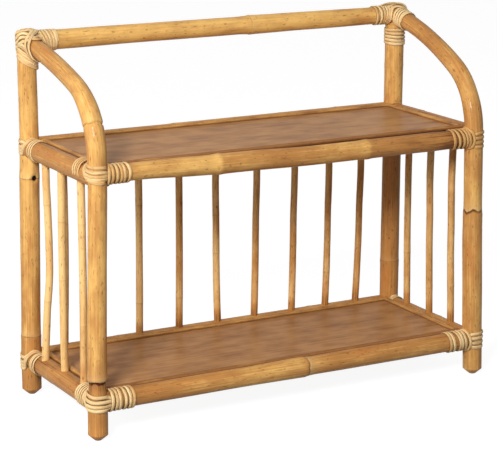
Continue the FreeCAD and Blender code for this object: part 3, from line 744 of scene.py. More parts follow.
for seed, (name, looks) in enumerate(STRAIGHT_POLES.items(), start=1):
    if name.startswith("rear_post"):
        looks = dict(looks, foot=FOOT_CUT, round_top=TOP_ROUNDING)
    settle(grow_pole(name, long_axis(name), seed, **looks), name)
print(len(STRAIGHT_POLES), "straight poles")

# %% [markdown]
# ## The bent front posts
#
# Each front post is one long pole. It stands as a leg that leans slightly in, was bent over steam
# into an arm with a tight curve, and runs on in a slack curve to the rear post under the top rail.
# The left pole was bent higher and further than the right one.

# %% The path of a bent post
HALF_DEPTH = 100
TOP_RAIL_HEIGHT = 454.5
UPPER_RAIL_HEIGHT = 321.5
REAR_HALF_WIDTH = 270
FOOT_HALF_WIDTH = 272.5
FOOT_SPREAD = 5
ARM_END_TRIM = 5
LEAN = math.atan(FOOT_SPREAD / UPPER_RAIL_HEIGHT)
BENDS = {  # height, radius and angle of the tight curve
    "left": (343.5, 82, 71),
    "right": (328.5, 87, 61),
}
ARC_STEPS = 24


def arc(centre, radius, start, end):
    """Points on an arc in the plane of y and z, from one angle to another."""
    angles = [start + (end - start) * i / ARC_STEPS for i in range(ARC_STEPS + 1)]
    spots = [(centre.y + radius * math.cos(a), centre.z + radius * math.sin(a)) for a in angles]
    return [Vector((0, y, z)) for y, z in spots]


def arm_path(side):
    """Leg, tight bend and slack bend in an upright plane, then leaned and swung into place."""
    start, radius, degrees = BENDS[side]
    turned = math.radians(degrees)
    leg = [Vector((0, 0, 0)), Vector((0, 0, start))]
    tight = arc(Vector((0, radius, start)), radius, math.pi, math.pi - turned)
    joint = tight[-1]
    end = Vector((0, 2 * HALF_DEPTH - ARM_END_TRIM, TOP_RAIL_HEIGHT))
    normal = Vector((0, math.cos(turned), -math.sin(turned)))
    chord = end - joint
    slack_radius = chord.length_squared / (2 * chord.dot(normal))
    centre = joint + normal * slack_radius
    from_centre = [math.atan2(point.z - centre.z, point.y - centre.y) for point in (joint, end)]
    slack = arc(centre, slack_radius, *from_centre)
    way = 1 if side == "left" else -1
    end_half_width = FOOT_HALF_WIDTH - TOP_RAIL_HEIGHT * math.sin(LEAN)
    swing = math.asin((REAR_HALF_WIDTH - end_half_width) / (2 * HALF_DEPTH))
    turn = Matrix.Rotation(way * LEAN, 3, "Y") @ Matrix.Rotation(way * swing, 3, "Z")
    foot = Vector((-way * FOOT_HALF_WIDTH, -HALF_DEPTH, 0))
    return [turn @ point + foot for point in leg + tight[1:] + slack[1:]]


arm_paths = {side: arm_path(side) for side in BENDS}
print("left arm ends at", [round(v, 1) for v in arm_paths["left"][-1]])

# %% [markdown]
# ## The skin of the bent posts
#
# The left leg has a broken sheath just over its foot, and the right leg has a wavy dark ring at
# half height. Both poles get thinner towards the arm's end, where they go under the cane.

# %% Bent posts
FRONT_POSTS = {
    "left": dict(
        rings=((74.5, 3.5, 0.9), (384, 0.3, 0.1)), crack=1.8, rag=2.4,
        thick=((0, 12.3), (48, 12.3), (62, 11.3), (72, 10.9), (78, 11.7), (303, 11.4), (363, 11.9),
               (393, 11.9), (443, 10.8), (600, 10.7)),
        tones=((0, 0.25), (60, 0.35), (67, 0.6), (73, 0.8), (77, 0.15), (143, 0.0), (203, -0.05),
               (290, 0.05), (373, 0.08), (388, -0.05), (440, 0.05), (500, 0.2), (600, 0.25)),
        drift=sideways((0, 0.7), (120, -0.8), (300, -0.3), (370, -1.4), (405, -1.3), (470, 0)),
    ),
    "right": dict(
        rings=((224, 1.8, -0.3),), crack=0.6, rag=4.0,
        thick=((0, 12.5), (54, 12.9), (180, 12.9), (209, 12.6), (226, 12.2), (239, 12.1),
               (353, 12.0), (380, 11.5), (418, 11.4), (494, 10.9), (600, 11.4)),
        # Painted highlight: on the arm the tone drops to 0.05 from 378 to 400 mm.
        tones=((0, 0.15), (104, 0.1), (214, 0.15), (234, 0.0), (264, 0.05), (294, 0.12),
               (345, 0.25), (378, 0.05), (400, 0.05), (484, 0.32), (600, 0.25)),
        drift=sideways((0, 2.5), (90, 0.7), (200, -1), (340, -1.6), (450, -0.6), (600, 0)),
    ),
}
for seed, (side, looks) in enumerate(FRONT_POSTS.items(), start=31):
    name = f"front_post_{side}"
    settle(grow_pole(name, arm_paths[side], seed, foot=FOOT_CUT, **looks), name)
print(len(FRONT_POSTS), "bent posts")

# %% [markdown]
# ## The spindles
#
# Spindles are thin poles, each a little bowed, and no two bows are alike. Planes across a
# construction spindle find its middle at several heights, and the grown spindle follows those
# points, with a drift of its own. It darkens towards its ends, where it goes into the rails,
# partly from a stain there and partly as painted shade.


# %% Spindles
def middle_line(node, count=9):
    """The middle of an upright construction piece at several heights."""
    mesh = nodes[node].data
    points = np.array([vertex.co for vertex in mesh.vertices]) / MM
    edges = np.array([edge.vertices[:] for edge in mesh.edges])
    first, second = points[edges[:, 0]], points[edges[:, 1]]
    low, high = points[:, 2].min(), points[:, 2].max()
    middles = []
    for height in np.linspace(low + 1, high - 1, count):
        crossing = (first[:, 2] - height) * (second[:, 2] - height) < 0
        a, b = first[crossing], second[crossing]
        cut = a + (b - a) * ((height - a[:, 2]) / (b[:, 2] - a[:, 2]))[:, None]
        middles.append(Vector((cut.min(axis=0) + cut.max(axis=0)) / 2))
    return middles


SPINDLE_LOOKS = {  # the tone of the middle, what the low and high parts add to it, and the drift
    "left_spindle_1": (-0.15, 0.15, 0.0),
    "left_spindle_2": (-0.3, 0.2, 0.0),
    "left_spindle_3": (-0.35, 0.0, 0.12, (30, -3), (60, -2.5), (130, 1.2)),
    "rear_spindle_1": (-0.05, 0.0, 0.0, (30, -2), (170, -0.7)),
    "rear_spindle_2": (0.0, 0.0, 0.0),
    "rear_spindle_3": (-0.2, 0.0, 0.0),
    "rear_spindle_4": (0.05, 0.0, 0.0),
    "rear_spindle_5": (0.05, -0.15, -0.15, (30, 3), (130, 3), (210, 1.5)),
    "rear_spindle_6": (0.05, 0.0, -0.15, (30, -2), (130, -2), (210, 0)),
    "rear_spindle_7": (0.05, 0.0, -0.15, (30, -2), (130, -2), (210, 0)),
    "rear_spindle_8": (0.05, 0.0, 0.0, (30, -2), (130, -2), (210, 0)),
    "rear_spindle_9": (0.1, 0.15, 0.0, (30, -3.5), (130, -2.8), (210, 0)),
    "right_spindle_1": (0.0, 0.0, 0.3, (30, 1.5), (130, 0), (210, -2)),
    "right_spindle_2": (0.0, 0.0, 0.0, (30, 1.5), (130, 0.5), (210, -1.5)),
    "right_spindle_3": (0.0, 0.0, 0.0, (30, 1.5), (130, 0.5), (210, 0)),
}
# Partly a stain and partly painted shade: how much browner a spindle turns towards its ends.
END_STAIN_AND_SHADE = {"left": 0.15, "rear": 0.45, "right": 0.45}
TOP_PALER = 0.12
random.seed(11)
for seed, (name, (tone, low, high, *drift)) in enumerate(SPINDLE_LOOKS.items(), start=51):
    rings = ((random.uniform(40, 130), 0.2, 0.05), (random.uniform(150, 250), 0.2, 0.05))
    end_tone = tone + END_STAIN_AND_SHADE[name.split("_")[0]]
    low_tone = tone + low
    high_tone = tone - TOP_PALER + high
    spindle = grow_pole(
        name, middle_line(name), seed, rings=rings, thick=((0, 4.7), (120, 4.6), (275, 4.8)),
        tones=((0, end_tone), (13, end_tone), (28, low_tone), (60, low_tone), (140, tone),
               (250, high_tone), (275, end_tone)),
        drift=sideways(*drift or [(0, 0)]), material=spindle_finish,
        rise=0.1, rag=0.2, crook=0.4, lumps=0.3, spacing=2.0,
    )
    settle(spindle, name)
print(len(SPINDLE_LOOKS), "spindles")

# %% [markdown]
# ## Flat cane
#
# Beads and bindings are strips of split cane: flat below, where they lie on a pole, and rounded
# above. The tree sweeps such a section along a line. Each point of the line stores which way is
# outward, and that direction becomes the normal of the curve, so a strip lies flat however it
# winds. Its width varies a little, as cane's does.

# %% Geometry Nodes: the strip
STRIP_INPUTS = {
    "Width": 0.005, "Height": 0.0018, "Vary": 0.15, "Tone": 0.0, "Seed": 0.0, "Material": None,
}
STRIP_SIDES = 12
UNDERSIDE = 0.25  # the belly below the line, as a share of the height above it
WIDTH_WAVES = 60.0  # to a metre
strip_group, tree, given = new_group("cane_strip", STRIP_INPUTS)
line = tree.add("GeometryNodeMeshToCurve", {"Mesh": given["Geometry"]})
normal = {"Curve": line, "Normal": stored(tree, "outward", "FLOAT_VECTOR")}
line = tree.add("GeometryNodeSetCurveNormal", normal, mode="FREE")
along = tree.add("GeometryNodeSplineParameter", out=1)
line = store(tree, line, "along", along)
spot = tree.combine(along * WIDTH_WAVES, stored(tree, "strand") * 9.7, given["Seed"])
vary = (tree.noise(spot) - 0.5) * (given["Vary"] * 2.0)
line = store(tree, line, "fullness", (vary + 1.0) * stored(tree, "broad"))
line = store(tree, line, "tone", given["Tone"])
place = tree.add("GeometryNodeInputPosition")
x, y = [tree.add("ShaderNodeSeparateXYZ", {"Vector": place}, out=i) for i in (0, 1)]
section = store(tree, unit_circle(tree, STRIP_SIDES), "across", y)
above = tree.math("MAXIMUM", x, 0.0) * given["Height"]
below = tree.math("MINIMUM", x, 0.0) * (given["Height"] * UNDERSIDE)
flattened = tree.combine(above + below, y * (given["Width"] * 0.5))
section = tree.add("GeometryNodeSetPosition", {"Geometry": section, "Position": flattened})
finish_group(tree, sweep(tree, line, section, stored(tree, "fullness")), given["Material"])
print("strip tree:", len(strip_group.nodes), "nodes")

# %% [markdown]
# ## The finish of the cane
#
# Binding cane is the pale outer skin of rattan, shaved thin. It is straw coloured with fine lines
# along its length, and every turn has its own tone, because a strand darkens unevenly as it dries.
# The darker edges of each strand are painted shade, where the rounded cane turns from the light and
# where it meets the next turn. A bead is the same cane under the frame's lacquer.


# %% Cane finish
def cane_finish(name, light, deep, speck_and_shade_colour, coat):
    material, tree = new_material(name)
    along, across, strand = [attribute(tree, stripe) for stripe in ("along", "across", "strand")]
    lines_at = tree.combine(along * 30.0, across * 2.6, strand * 7.3)
    lines = tree.noise(lines_at, detail=3.0)
    patches = tree.noise(tree.combine(along * 22.0, strand))
    depth = lines * 0.8 + patches + attribute(tree, "tone")
    body = mix(tree, tree.ramp(depth, 0.65, 1.2), light, deep)
    specks = tree.noise(lines_at * (6.0, 1.6, 1.0))
    body = mix(tree, tree.ramp(specks, 0.56, 0.72, 0.0, 0.5), body, speck_and_shade_colour)
    # Painted shade: the edges of every strand are darkened, as if shade fell between the turns.
    edge = tree.ramp(tree.math("ABSOLUTE", across), 0.74, 0.98, 0.0, 0.85)
    body = mix(tree, edge, body, speck_and_shade_colour)
    return finish_material(material, tree, {
        "Base Color": body, "Roughness": 0.5, "Normal": bump(tree, 0.3, 0.0004, lines),
        "Coat Weight": coat, "Coat Roughness": 0.2, "Specular IOR Level": 0.05})


binding_finish = cane_finish(
    "binding_cane", light=colour(1.0, 0.88, 0.66), deep=colour(0.84, 0.64, 0.39),
    speck_and_shade_colour=colour(0.33, 0.18, 0.08), coat=0.08)
bead_finish = cane_finish(
    "bead_cane", light=colour(0.86, 0.64, 0.36), deep=colour(0.62, 0.42, 0.24),
    speck_and_shade_colour=colour(0.42, 0.26, 0.13), coat=0.1)
print("cane finishes:", binding_finish.name, bead_finish.name)

# %% [markdown]
# ## The beads
#
# A bead is pinned over the gap between a board and its rails. It is a straight strip, but hand
# pinned, so it wanders by a fraction of a millimetre. The beads at the front are a little browner.

# %% Beads
BEAD_WIDTH = 9.4
BEAD_HEIGHT = 4.0
BEAD_POINTS = 25
BEAD_WANDER = 0.25
bead_names = sorted(node for node in nodes if "_bead_" in node)
for seed, name in enumerate(bead_names, start=71):
    start, end = long_axis(name)
    start.z = end.z = box(name)[0].z
    side = Vector((0, 1, 0)) if abs(end.x - start.x) > abs(end.y - start.y) else Vector((1, 0, 0))
    random.seed(seed)
    row = []
    for i in range(BEAD_POINTS):
        point = start.lerp(end, i / (BEAD_POINTS - 1))
        row.append(point + side * random.uniform(-BEAD_WANDER, BEAD_WANDER))
    marks = {"outward": [Vector((0, 0, 1))], "strand": [float(seed)], "broad": [1.0]}
    marks = {label: value * BEAD_POINTS for label, value in marks.items()}
    tone = 0.3 if name.endswith("front") else 0.0
    bead = grow(name, line_mesh(name, [row], marks), strip_group, width=BEAD_WIDTH * MM,
                height=BEAD_HEIGHT * MM, vary=0.06, tone=tone, seed=float(seed),
                material=bead_finish)
    settle(bead, name)
print(len(bead_names), "beads pinned")

# %% [markdown]
# ## How cane lies on a joint
#
# A taut strand lies on the poles that it crosses and spans the hollows between them. Rather than
# work out each contact, a rough path is laid through the joint, and every point of it is then drawn
# onto the skin of the poles. Near a corner the skins are blended, so the strand spans the hollow as
# real cane does. The direction of that draw is also the strand's outward direction.


# %% The skin of a pole
UP = Vector((0, 0, 1))
SEEN = 80  # how much of each pole a joint looks at, in millimetres


def straight(direction, start=0, end=SEEN):
    return [direction * start, direction * end]


def pole_skin(offset, path, radius, edge):
    """How far a point is from the skin of a pole, whose ends are cut flat and rounded over."""
    first = (path[1] - path[0]).normalized()
    last = (path[-1] - path[-2]).normalized()
    middles = []
    for i, (start, end) in enumerate(zip(path, path[1:])):
        part = (offset - start).dot(end - start) / (end - start).length_squared
        if i > 0:
            part = max(part, 0)
        if i < len(path) - 2:
            part = min(part, 1)
        middles.append((offset - start.lerp(end, part)).length)
    side = min(middles) - radius + edge
    cap = max((path[0] - offset).dot(first), (offset - path[-1]).dot(last)) + edge
    return math.hypot(max(side, 0), max(cap, 0)) + min(max(side, cap), 0) - edge


sample = pole_skin(Vector((40, 20, 0)), straight(Vector((1, 0, 0))), POLE_RADIUS, 2)
print("a point 20 from the middle of a pole is", round(sample, 2), "from its skin")

# %% [markdown]
# ## Three ways to lay a strand
#
# A coil turns round one pole, a strand runs through a few chosen places, and hoops are the short
# arcs that show on the far side of a pole. Each is only a rough path until it is laid on the skin.
# Its width can differ, because cane that is pulled tight over a corner lies flatter and broader.


# %% Joint
class Joint:
    """Poles that meet in a corner, and the strands of cane that bind them.

    A pole is a path from the corner, the reach at which that path begins, a radius and how
    much its ends are rounded."""

    BLEND = 1.3  # how softly two skins run into one another
    FEEL = 0.2  # how far apart the skin is felt to find the way out of it
    PULLS = 3  # how often a point is drawn towards the skin
    ENDS = 6  # a strand sinks in over this part of its length, at either end
    SINK = 1.5
    CLEAR = 0.5  # how far off the skin a rough path runs
    HOOP_LOOSE = 0.4
    HOOP_ARC = (0.5, 1.15)  # from angle to angle, in half turns from the top of the pole
    COIL_STEPS = 20
    HOOP_STEPS = 14
    STRAND_STEPS = 7
    WIDTH = 4.4  # of the cane
    HEIGHT = 1.45

    def __init__(self, name, corner, poles, seed):
        self.name = name
        self.corner = corner
        self.poles = poles
        self.rows = []
        self.marks = {"outward": [], "strand": [], "broad": []}
        self.dice = random.Random(seed)

    def distance(self, point):
        """How far a point is from the blended skin of all the poles."""
        offset = point - self.corner
        parts = [pole_skin(offset, path, radius, edge) for path, _, radius, edge in self.poles]
        nearest = min(parts)
        close = sum(math.exp((nearest - part) / self.BLEND) for part in parts)
        return nearest - self.BLEND * math.log(close)

    def way_out(self, point):
        steps = [Vector((self.FEEL, 0, 0)), Vector((0, self.FEEL, 0)), Vector((0, 0, self.FEEL))]
        rises = [self.distance(point + step) - self.distance(point - step) for step in steps]
        return Vector(rises).normalized()

    def along(self, pole, reach):
        """The middle of a pole at a reach from the corner, and the way it runs there."""
        path, begin = self.poles[pole][:2]
        left = reach - begin
        for start, end in zip(path, path[1:]):
            length = (end - start).length
            if left <= length or end is path[-1]:
                return start.lerp(end, left / length), (end - start).normalized()
            left -= length

    def lay(self, path, lift, sink=0.0, broad=1.0):
        """Draw a rough path, given from the corner, onto the skin. Its ends may sink in."""
        row = []
        for i, place in enumerate(path):
            point = self.corner + place
            done = i / (len(path) - 1)
            height = lift - sink * max(0, 1 - self.ENDS * min(done, 1 - done))
            for _ in range(self.PULLS):
                way = self.way_out(point)
                point = point + way * (height - self.distance(point))
            row.append(point)
            self.marks["outward"].append(way)
        self.rows.append(row)
        self.marks["strand"] += [float(len(self.rows))] * len(row)
        self.marks["broad"] += [broad] * len(row)

    def coil(self, pole, reaches, lean, begin, top=UP, lift=0.3, loose=0.5, broad=1.0):
        """Turns round one pole, one for each reach. Lean slants the first and the last of them."""
        radius = self.poles[pole][2]
        count = len(reaches)
        spots = [reach + self.dice.uniform(-loose, loose) / 2 for reach in reaches]
        swings = [self.dice.uniform(-loose, loose) for _ in reaches]
        path = []
        for i in range(count * self.COIL_STEPS + 1):
            done = i / self.COIL_STEPS
            at = min(max(done - 0.5, 0), count - 1)
            near = min(int(at), count - 2)
            part = at - near
            reach = spots[near] + (spots[near + 1] - spots[near]) * part
            swing = swings[near] + (swings[near + 1] - swings[near]) * part
            angle = begin + 2 * math.pi * done
            slant = lean[0] + (lean[1] - lean[0]) * at / (count - 1)
            shift = slant * math.cos(angle) + swing * math.sin(angle)
            middle, direction = self.along(pole, reach + shift)
            side = direction.cross(top).normalized()
            upward = side.cross(direction).normalized()
            around = upward * math.cos(angle) + side * math.sin(angle)
            path.append(middle + around * (radius + self.CLEAR))
        self.lay(path, lift, broad=broad)

    def hoops(self, pole, reaches, way):
        """Short arcs over the far side of a pole, whose ends are tucked away. Way is 1 or -1."""
        radius = self.poles[pole][2]
        start, end = [way * math.pi * part for part in self.HOOP_ARC]
        angles = [start + (end - start) * i / self.HOOP_STEPS for i in range(self.HOOP_STEPS + 1)]
        for reach in reaches:
            shift = self.dice.uniform(-self.HOOP_LOOSE, self.HOOP_LOOSE)
            middle, direction = self.along(pole, reach + shift)
            side = direction.cross(UP).normalized()
            arcs = [UP * math.cos(a) + side * math.sin(a) for a in angles]
            self.lay([middle + around * (radius + self.CLEAR) for around in arcs], lift=0.3)

    def strand(self, knots, lift, sink=SINK):
        """A strand through a few places given from the corner, smoothed between them."""
        knots = [knots[0] * 2 - knots[1]] + knots + [knots[-1] * 2 - knots[-2]]
        path = []
        for a, b, c, d in zip(knots, knots[1:], knots[2:], knots[3:]):
            for i in range(self.STRAND_STEPS):
                t = i / self.STRAND_STEPS
                bend = (2 * a - 5 * b + 4 * c - d) * t**2 + (3 * b - a - 3 * c + d) * t**3
                path.append(0.5 * (2 * b + (c - a) * t + bend))
        path.append(knots[-2])
        self.lay(path, lift, sink, broad=1.2)

    def bind(self, tone=0.0):
        """Sweep every strand and hand the binding over."""
        piece = grow(self.name, line_mesh(self.name, self.rows, self.marks), strip_group,
                     sharp_angle=70, width=self.WIDTH * MM, height=self.HEIGHT * MM, vary=0.22,
                     tone=tone, seed=1.0, material=binding_finish)
        settle(piece, self.name)
        print(self.name, len(self.rows), "strands")


# %% [markdown]
# ## The shelf joints
#
# At each shelf corner a strand is wound round the front or rear rail, carried round the outside of
# the post several times, and taken over the side rail, where it is wound again. The strands round
# the post sag a little. On the sides that face the boards the turns pass between board and rail, so
# on the far rails only the outer arcs of them are there to see. Each strand of the fan round a post
# is given by its heights where it leaves the rail, on the corner of the post, and where it meets
# the side rail.

# %% Shelf joints: where the turns lie
FAR_TURNS = (15.5, 20.5, 25.5, 30.5)  # how far from the corner, like all the turns below
REAR_RIGHT_FAN = ((5, 5, 4), (0, 0, 0), (-5, -5, -5), (-9, -10, -9))
SHELF_JOINTS = {
    ("upper", "front", "left"): dict(
        rail=(10.7, 16, 21, 26, 30.8, 36.6), side_rail=(25.5, 30.5, 35.5, 40.5), tone=0.12,
        fan=((9.5, 11, 12.6), (3.9, 5.2, 6.4), (0.2, 0, 1.5), (-3.5, -3.4, -1.6)),
        tail=((-12, 8, -3), (-12, 0, -5), (-8.5, -8.5, -6.5), (0, -12, -7.5), (6, -10, -7)),
    ),
    ("lower", "front", "left"): dict(
        rail=(14.5, 20, 25.5, 31.5, 37.5, 43), side_rail=(15.5, 20.5, 25.5, 30.5, 35.5),
        fan=((7.6, 8.7, 11.4), (2.4, 2.4, 3.8), (-3.8, -3.2, -2.6), (-8.9, -8, -7.4)),
    ),
    ("upper", "front", "right"): dict(
        rail=(7, 12.5, 17, 23, 30.5, 37), tone=0.3,
        fan=((6, 7.4, 7), (1, 1, 1), (-5, -5, -5), (-10, -11, -10)),
    ),
    ("lower", "front", "right"): dict(
        rail=(11.3, 17, 22.4, 27.6, 36, 41.5), hoops=(16, 26, 31),
        fan=((9, 10, 9), (3.6, 3.6, 3), (-2.8, -2.8, -3), (-8, -9.3, -8)),
    ),
    ("upper", "rear", "left"): dict(
        side_rail=(24, 29, 34.5), fan=((8, 9, 8), (3, 3.4, 2), (-2, -2, -2), (-6, -6.5, -6)),
    ),
    ("lower", "rear", "left"): dict(
        side_rail=(25, 30, 35), fan=((8, 7, 4), (1, -0.5, -2), (-5, -5.6, -6), (-10, -11.4, -10)),
    ),
    ("upper", "rear", "right"): dict(fan=REAR_RIGHT_FAN),
    ("lower", "rear", "right"): dict(side_rail=(15, 20), fan=REAR_RIGHT_FAN),
}
print(len(SHELF_JOINTS), "shelf joints to bind")

# %% [markdown]
# ### Binding one shelf joint
#
# The joint takes its poles as they were grown: as thick, and as far off their middle lines. The fan
# goes on first, and the turns round the rails hold its ends down. Places are given along the front
# or rear rail, along the side rail and up, from the corner.

# %% Shelf joints
LOWER_RAIL_HEIGHT = 46.5
RAIL_LENGTH = 525
RAIL_SPOT = 25  # where along a rail its girth is taken for the joint
HIDDEN_START = 20  # where the fan starts on a rail that isn't wound
SHELF_EDGE = 4
SHELF_LIFT = -0.2
RAIL, SIDE_RAIL = range(2)
WOUND_FROM = 0.6  # where the turns on a rail begin, in half turns from its top
OVER_WOUND_RAIL = ((-11, 12, 9), (2, 14, 13), (12, 15, 8))  # the way of a strand over its side rail
UNDER_BARE_RAIL = (-12, 13, 0.7)  # the last number is a share of the strand's height


def pole_at(looks, along):
    """A pole's radius, and how far it drifts off its middle line, at a place along it."""
    drift = Vector(between(looks["drift"], along)) if "drift" in looks else Vector()
    return between(looks.get("thick", ((0, POLE_RADIUS),)), along), drift


def shelf_joint(level, row, side, seed, fan, rail=(), side_rail=(), tail=(), hoops=FAR_TURNS,
                tone=0.0):
    height = UPPER_RAIL_HEIGHT if level == "upper" else LOWER_RAIL_HEIGHT
    along_x = 1 if side == "left" else -1
    along_y = 1 if row == "front" else -1
    if row == "front":
        half_width = FOOT_HALF_WIDTH - FOOT_SPREAD * height / UPPER_RAIL_HEIGHT
        post_looks = FRONT_POSTS[side]
    else:
        half_width = REAR_HALF_WIDTH
        post_looks = STRAIGHT_POLES[f"rear_post_{side}"]
    post_radius, post_drift = pole_at(post_looks, height)
    spot = RAIL_SPOT if side == "left" else RAIL_LENGTH - RAIL_SPOT
    rail_radius, rail_drift = pole_at(STRAIGHT_POLES[f"{level}_{row}_rail"], spot)
    corner = Vector((-along_x * half_width, -along_y * HALF_DEPTH, height))
    corner = corner + post_drift + rail_drift
    rail_way = Vector((along_x, 0, 0))
    side_way = Vector((0, along_y, 0))
    poles = [
        (straight(rail_way), 0, rail_radius, SHELF_EDGE),
        (straight(side_way), 0, POLE_RADIUS, SHELF_EDGE),
        (straight(UP, -SEEN), -SEEN, post_radius, SHELF_EDGE),
    ]
    joint = Joint(f"binding_{level}_{row}_{side}", corner, poles, seed)

    def at(x, y, z):
        return rail_way * x + side_way * y + UP * z

    outer = post_radius * math.sqrt(0.5)
    tuck = rail[0] if rail else HIDDEN_START
    for i, (at_rail, at_post, at_side) in enumerate(fan):
        places = [
            at(tuck, -rail_radius, at_rail),
            at(tuck * 0.6, -post_radius, at_rail * 0.6 + at_post * 0.4),
            at(0, -post_radius, at_rail * 0.15 + at_post * 0.85),
            at(-outer, -outer, at_post),
            at(-post_radius, 0, at_post * 0.3 + at_side * 0.7),
            at(-post_radius, 7, at_side + 1),
        ]
        if side_rail:
            places += [at(x, y + i, z) for x, y, z in OVER_WOUND_RAIL]
        else:
            x, y, share = UNDER_BARE_RAIL
            places.append(at(x, y + i, at_side * share))
        joint.strand(places, SHELF_LIFT)
    if tail:
        joint.strand([at(*place) for place in tail], SHELF_LIFT)
    way = along_x * along_y
    begin = way * WOUND_FROM * math.pi
    if rail:
        joint.coil(RAIL, rail, lean=(1.2, 0.4), begin=-begin, lift=0.5, loose=0.9, broad=1.1)
    else:
        joint.hoops(RAIL, FAR_TURNS, way)
    if side_rail:
        joint.coil(SIDE_RAIL, side_rail, lean=(0.8, 0.5), begin=begin, lift=0.5, loose=0.7,
                   broad=0.82)
    else:
        joint.hoops(SIDE_RAIL, hoops, -way)
    joint.bind(tone=tone)


for seed, (corner, looks) in enumerate(SHELF_JOINTS.items(), start=101):
    shelf_joint(*corner, seed, **looks)

# %% [markdown]
# ## The top joints
#
# Three poles meet at each top corner: the rear post, the top rail and the arm. On the left, turns
# climb the post on a slant, strands rise over the outer face and run across the arm's root to the
# rail, and two more come down the side of the arm over all of them. On the right the turns are
# level, more of them hold the arm, and a cap of strands arches over the corner. Places are given
# inward, forward and up from the corner, and a turn by the place along its pole.

# %% Top joints: where the strands lie
RAIL, POST, ARM = range(3)
LEFT_UNDER = [
    [(-12, -7, -3), (-12.4, 0, -4), (-12.5, 6, -4), (-12.3, 12, -4), (-12.2, 18, -4.5),
     (-11.5, 22.5, -6.5), (-8.5, 22, -11), (-2, 20, -13)],
    [(-12.7, -2, -1), (-12.7, 4, -2), (-12.7, 10, -2), (-12.6, 17, -1.7), (-12.5, 22.5, -3),
     (-11.7, 26.5, -6.6), (-7, 27, -12)],
    [(2, -13, -16), (-8, -11, -13), (-13, -5, -8.5), (-13, 3, -4.5), (-12, 13, 1), (-10, 24, 4.5),
     (-5, 31, 7.5), (0, 35, 7.8), (5, 31, 6.5), (10, 20, 3), (14, 13, 1.5), (19, 13, 0)],
    [(2, -13, -11), (-8, -11, -8), (-13, -5, -3), (-13, 3, 1.8), (-11, 10, 7), (-8, 20, 8.5),
     (-4, 26, 8.5), (1, 27, 8.8), (7, 19, 7), (13, 12, 5), (18, 13, 4)],
    [(2, -13, -6), (-8, -11, -2), (-13, -5, 3), (-13, 2, 7.5), (-9, 8, 12), (-1, 17, 10.5),
     (5, 14, 9.3), (15, 12, 8)],
    [(2, -13, 0), (-8, -11, 4), (-13, -6, 9), (-12, 0, 12.5), (-6, 5, 14), (3, 8, 13), (13, 7, 12)],
    [(0, -14, 6), (-8, -11, 11), (-10, -4, 14), (-3, 0, 14), (6, 1, 14), (14, 0, 14)],
    [(-4, -13, 10), (-2, -8, 14), (4, -4, 14), (14, -4, 14)],
]
LEFT_OVER = [
    [(14, -5, 13), (9, 1, 13.5), (1.7, 10.7, 12.8), (-6.5, 19, 9.5), (-11.2, 23.5, 5),
     (-13, 26, 0.7), (-13.3, 29, -4.6), (-11.5, 32, -9.7), (-6, 34, -14), (2, 34, -16)],
    [(18, -3, 13), (13, 2, 13.5), (7.6, 9.2, 12.2), (-3.6, 24, 10), (-10.5, 32, 5.2),
     (-13, 35.4, 0), (-13.4, 39, -5.7), (-12, 43, -10.6), (-8, 47, -16), (1, 47, -20)],
]
RIGHT_UNDER = [
    [(24, -4, 11), (14, -5, 13), (3, -6, 14), (-7, -5, 14), (-13, 1, 8), (-14, 8, 0)],
    [(24, 2, 11), (14, 1, 13), (3, 0, 14), (-7, 2, 13), (-13, 8, 7), (-14, 16, -2)],
    [(20, 6, 11), (12, 5, 12), (5, 4, 12.5), (-4.5, 4, 12), (-10, 10, 9), (-13, 17, 2)],
    [(16, 11, 8.5), (8, 10.5, 10.5), (2.5, 13.5, 11), (-1, 18, 9.7), (-5, 24, 8.5), (-10, 29, 4)],
]
RIGHT_OVER = [
    [(30, -2, 11), (18, 0, 12), (5, 2, 14), (-6, 5, 14), (-12, 11, 9), (-14, 20, 1), (-11, 28, -8)],
    [(27, -5, 12), (14, -4, 13), (2, -2, 14), (-7, 0, 14), (-13, 6, 9), (-14.5, 14, 1),
     (-12, 22, -7)],
]
LEFT_TURNS = [  # the pole, where each turn lies along it, and the lean of the first and last
    (RAIL, (17, 21, 25, 29, 32.5, 36), (-4, 0)),
    (POST, (-14.5, -18.3, -22, -25.8), (-8.5, -7)),
]
RIGHT_TURNS = [
    (RAIL, (12, 16, 19.8, 23.5, 28.5, 35), (-4, 0)),
    (POST, (-20, -25, -30, -34.5, -39), (0.5, -0.5)),
    (ARM, (19, 23.5, 28, 33, 38), (-3, -1)),
]
print("strands on the left:", len(LEFT_UNDER + LEFT_OVER))
print("strands on the right:", len(RIGHT_UNDER + RIGHT_OVER))

# %% [markdown]
# ### Binding one top joint
#
# The joint follows the arm along its own curve. Turns go on after the strands that they hold, and
# the last strands go over the turns, each a little higher than the one before.

# %% Top joints
TOP_EDGE = 2
UNDER_LIFT = 0.25
NEXT_LIFT = 0.2
ARM_POINTS = 14  # how many points of the arm's path the joint looks at
OUTER_FRONT = Vector((0.87, -0.49, 0))  # the side of the post from which its turns are counted


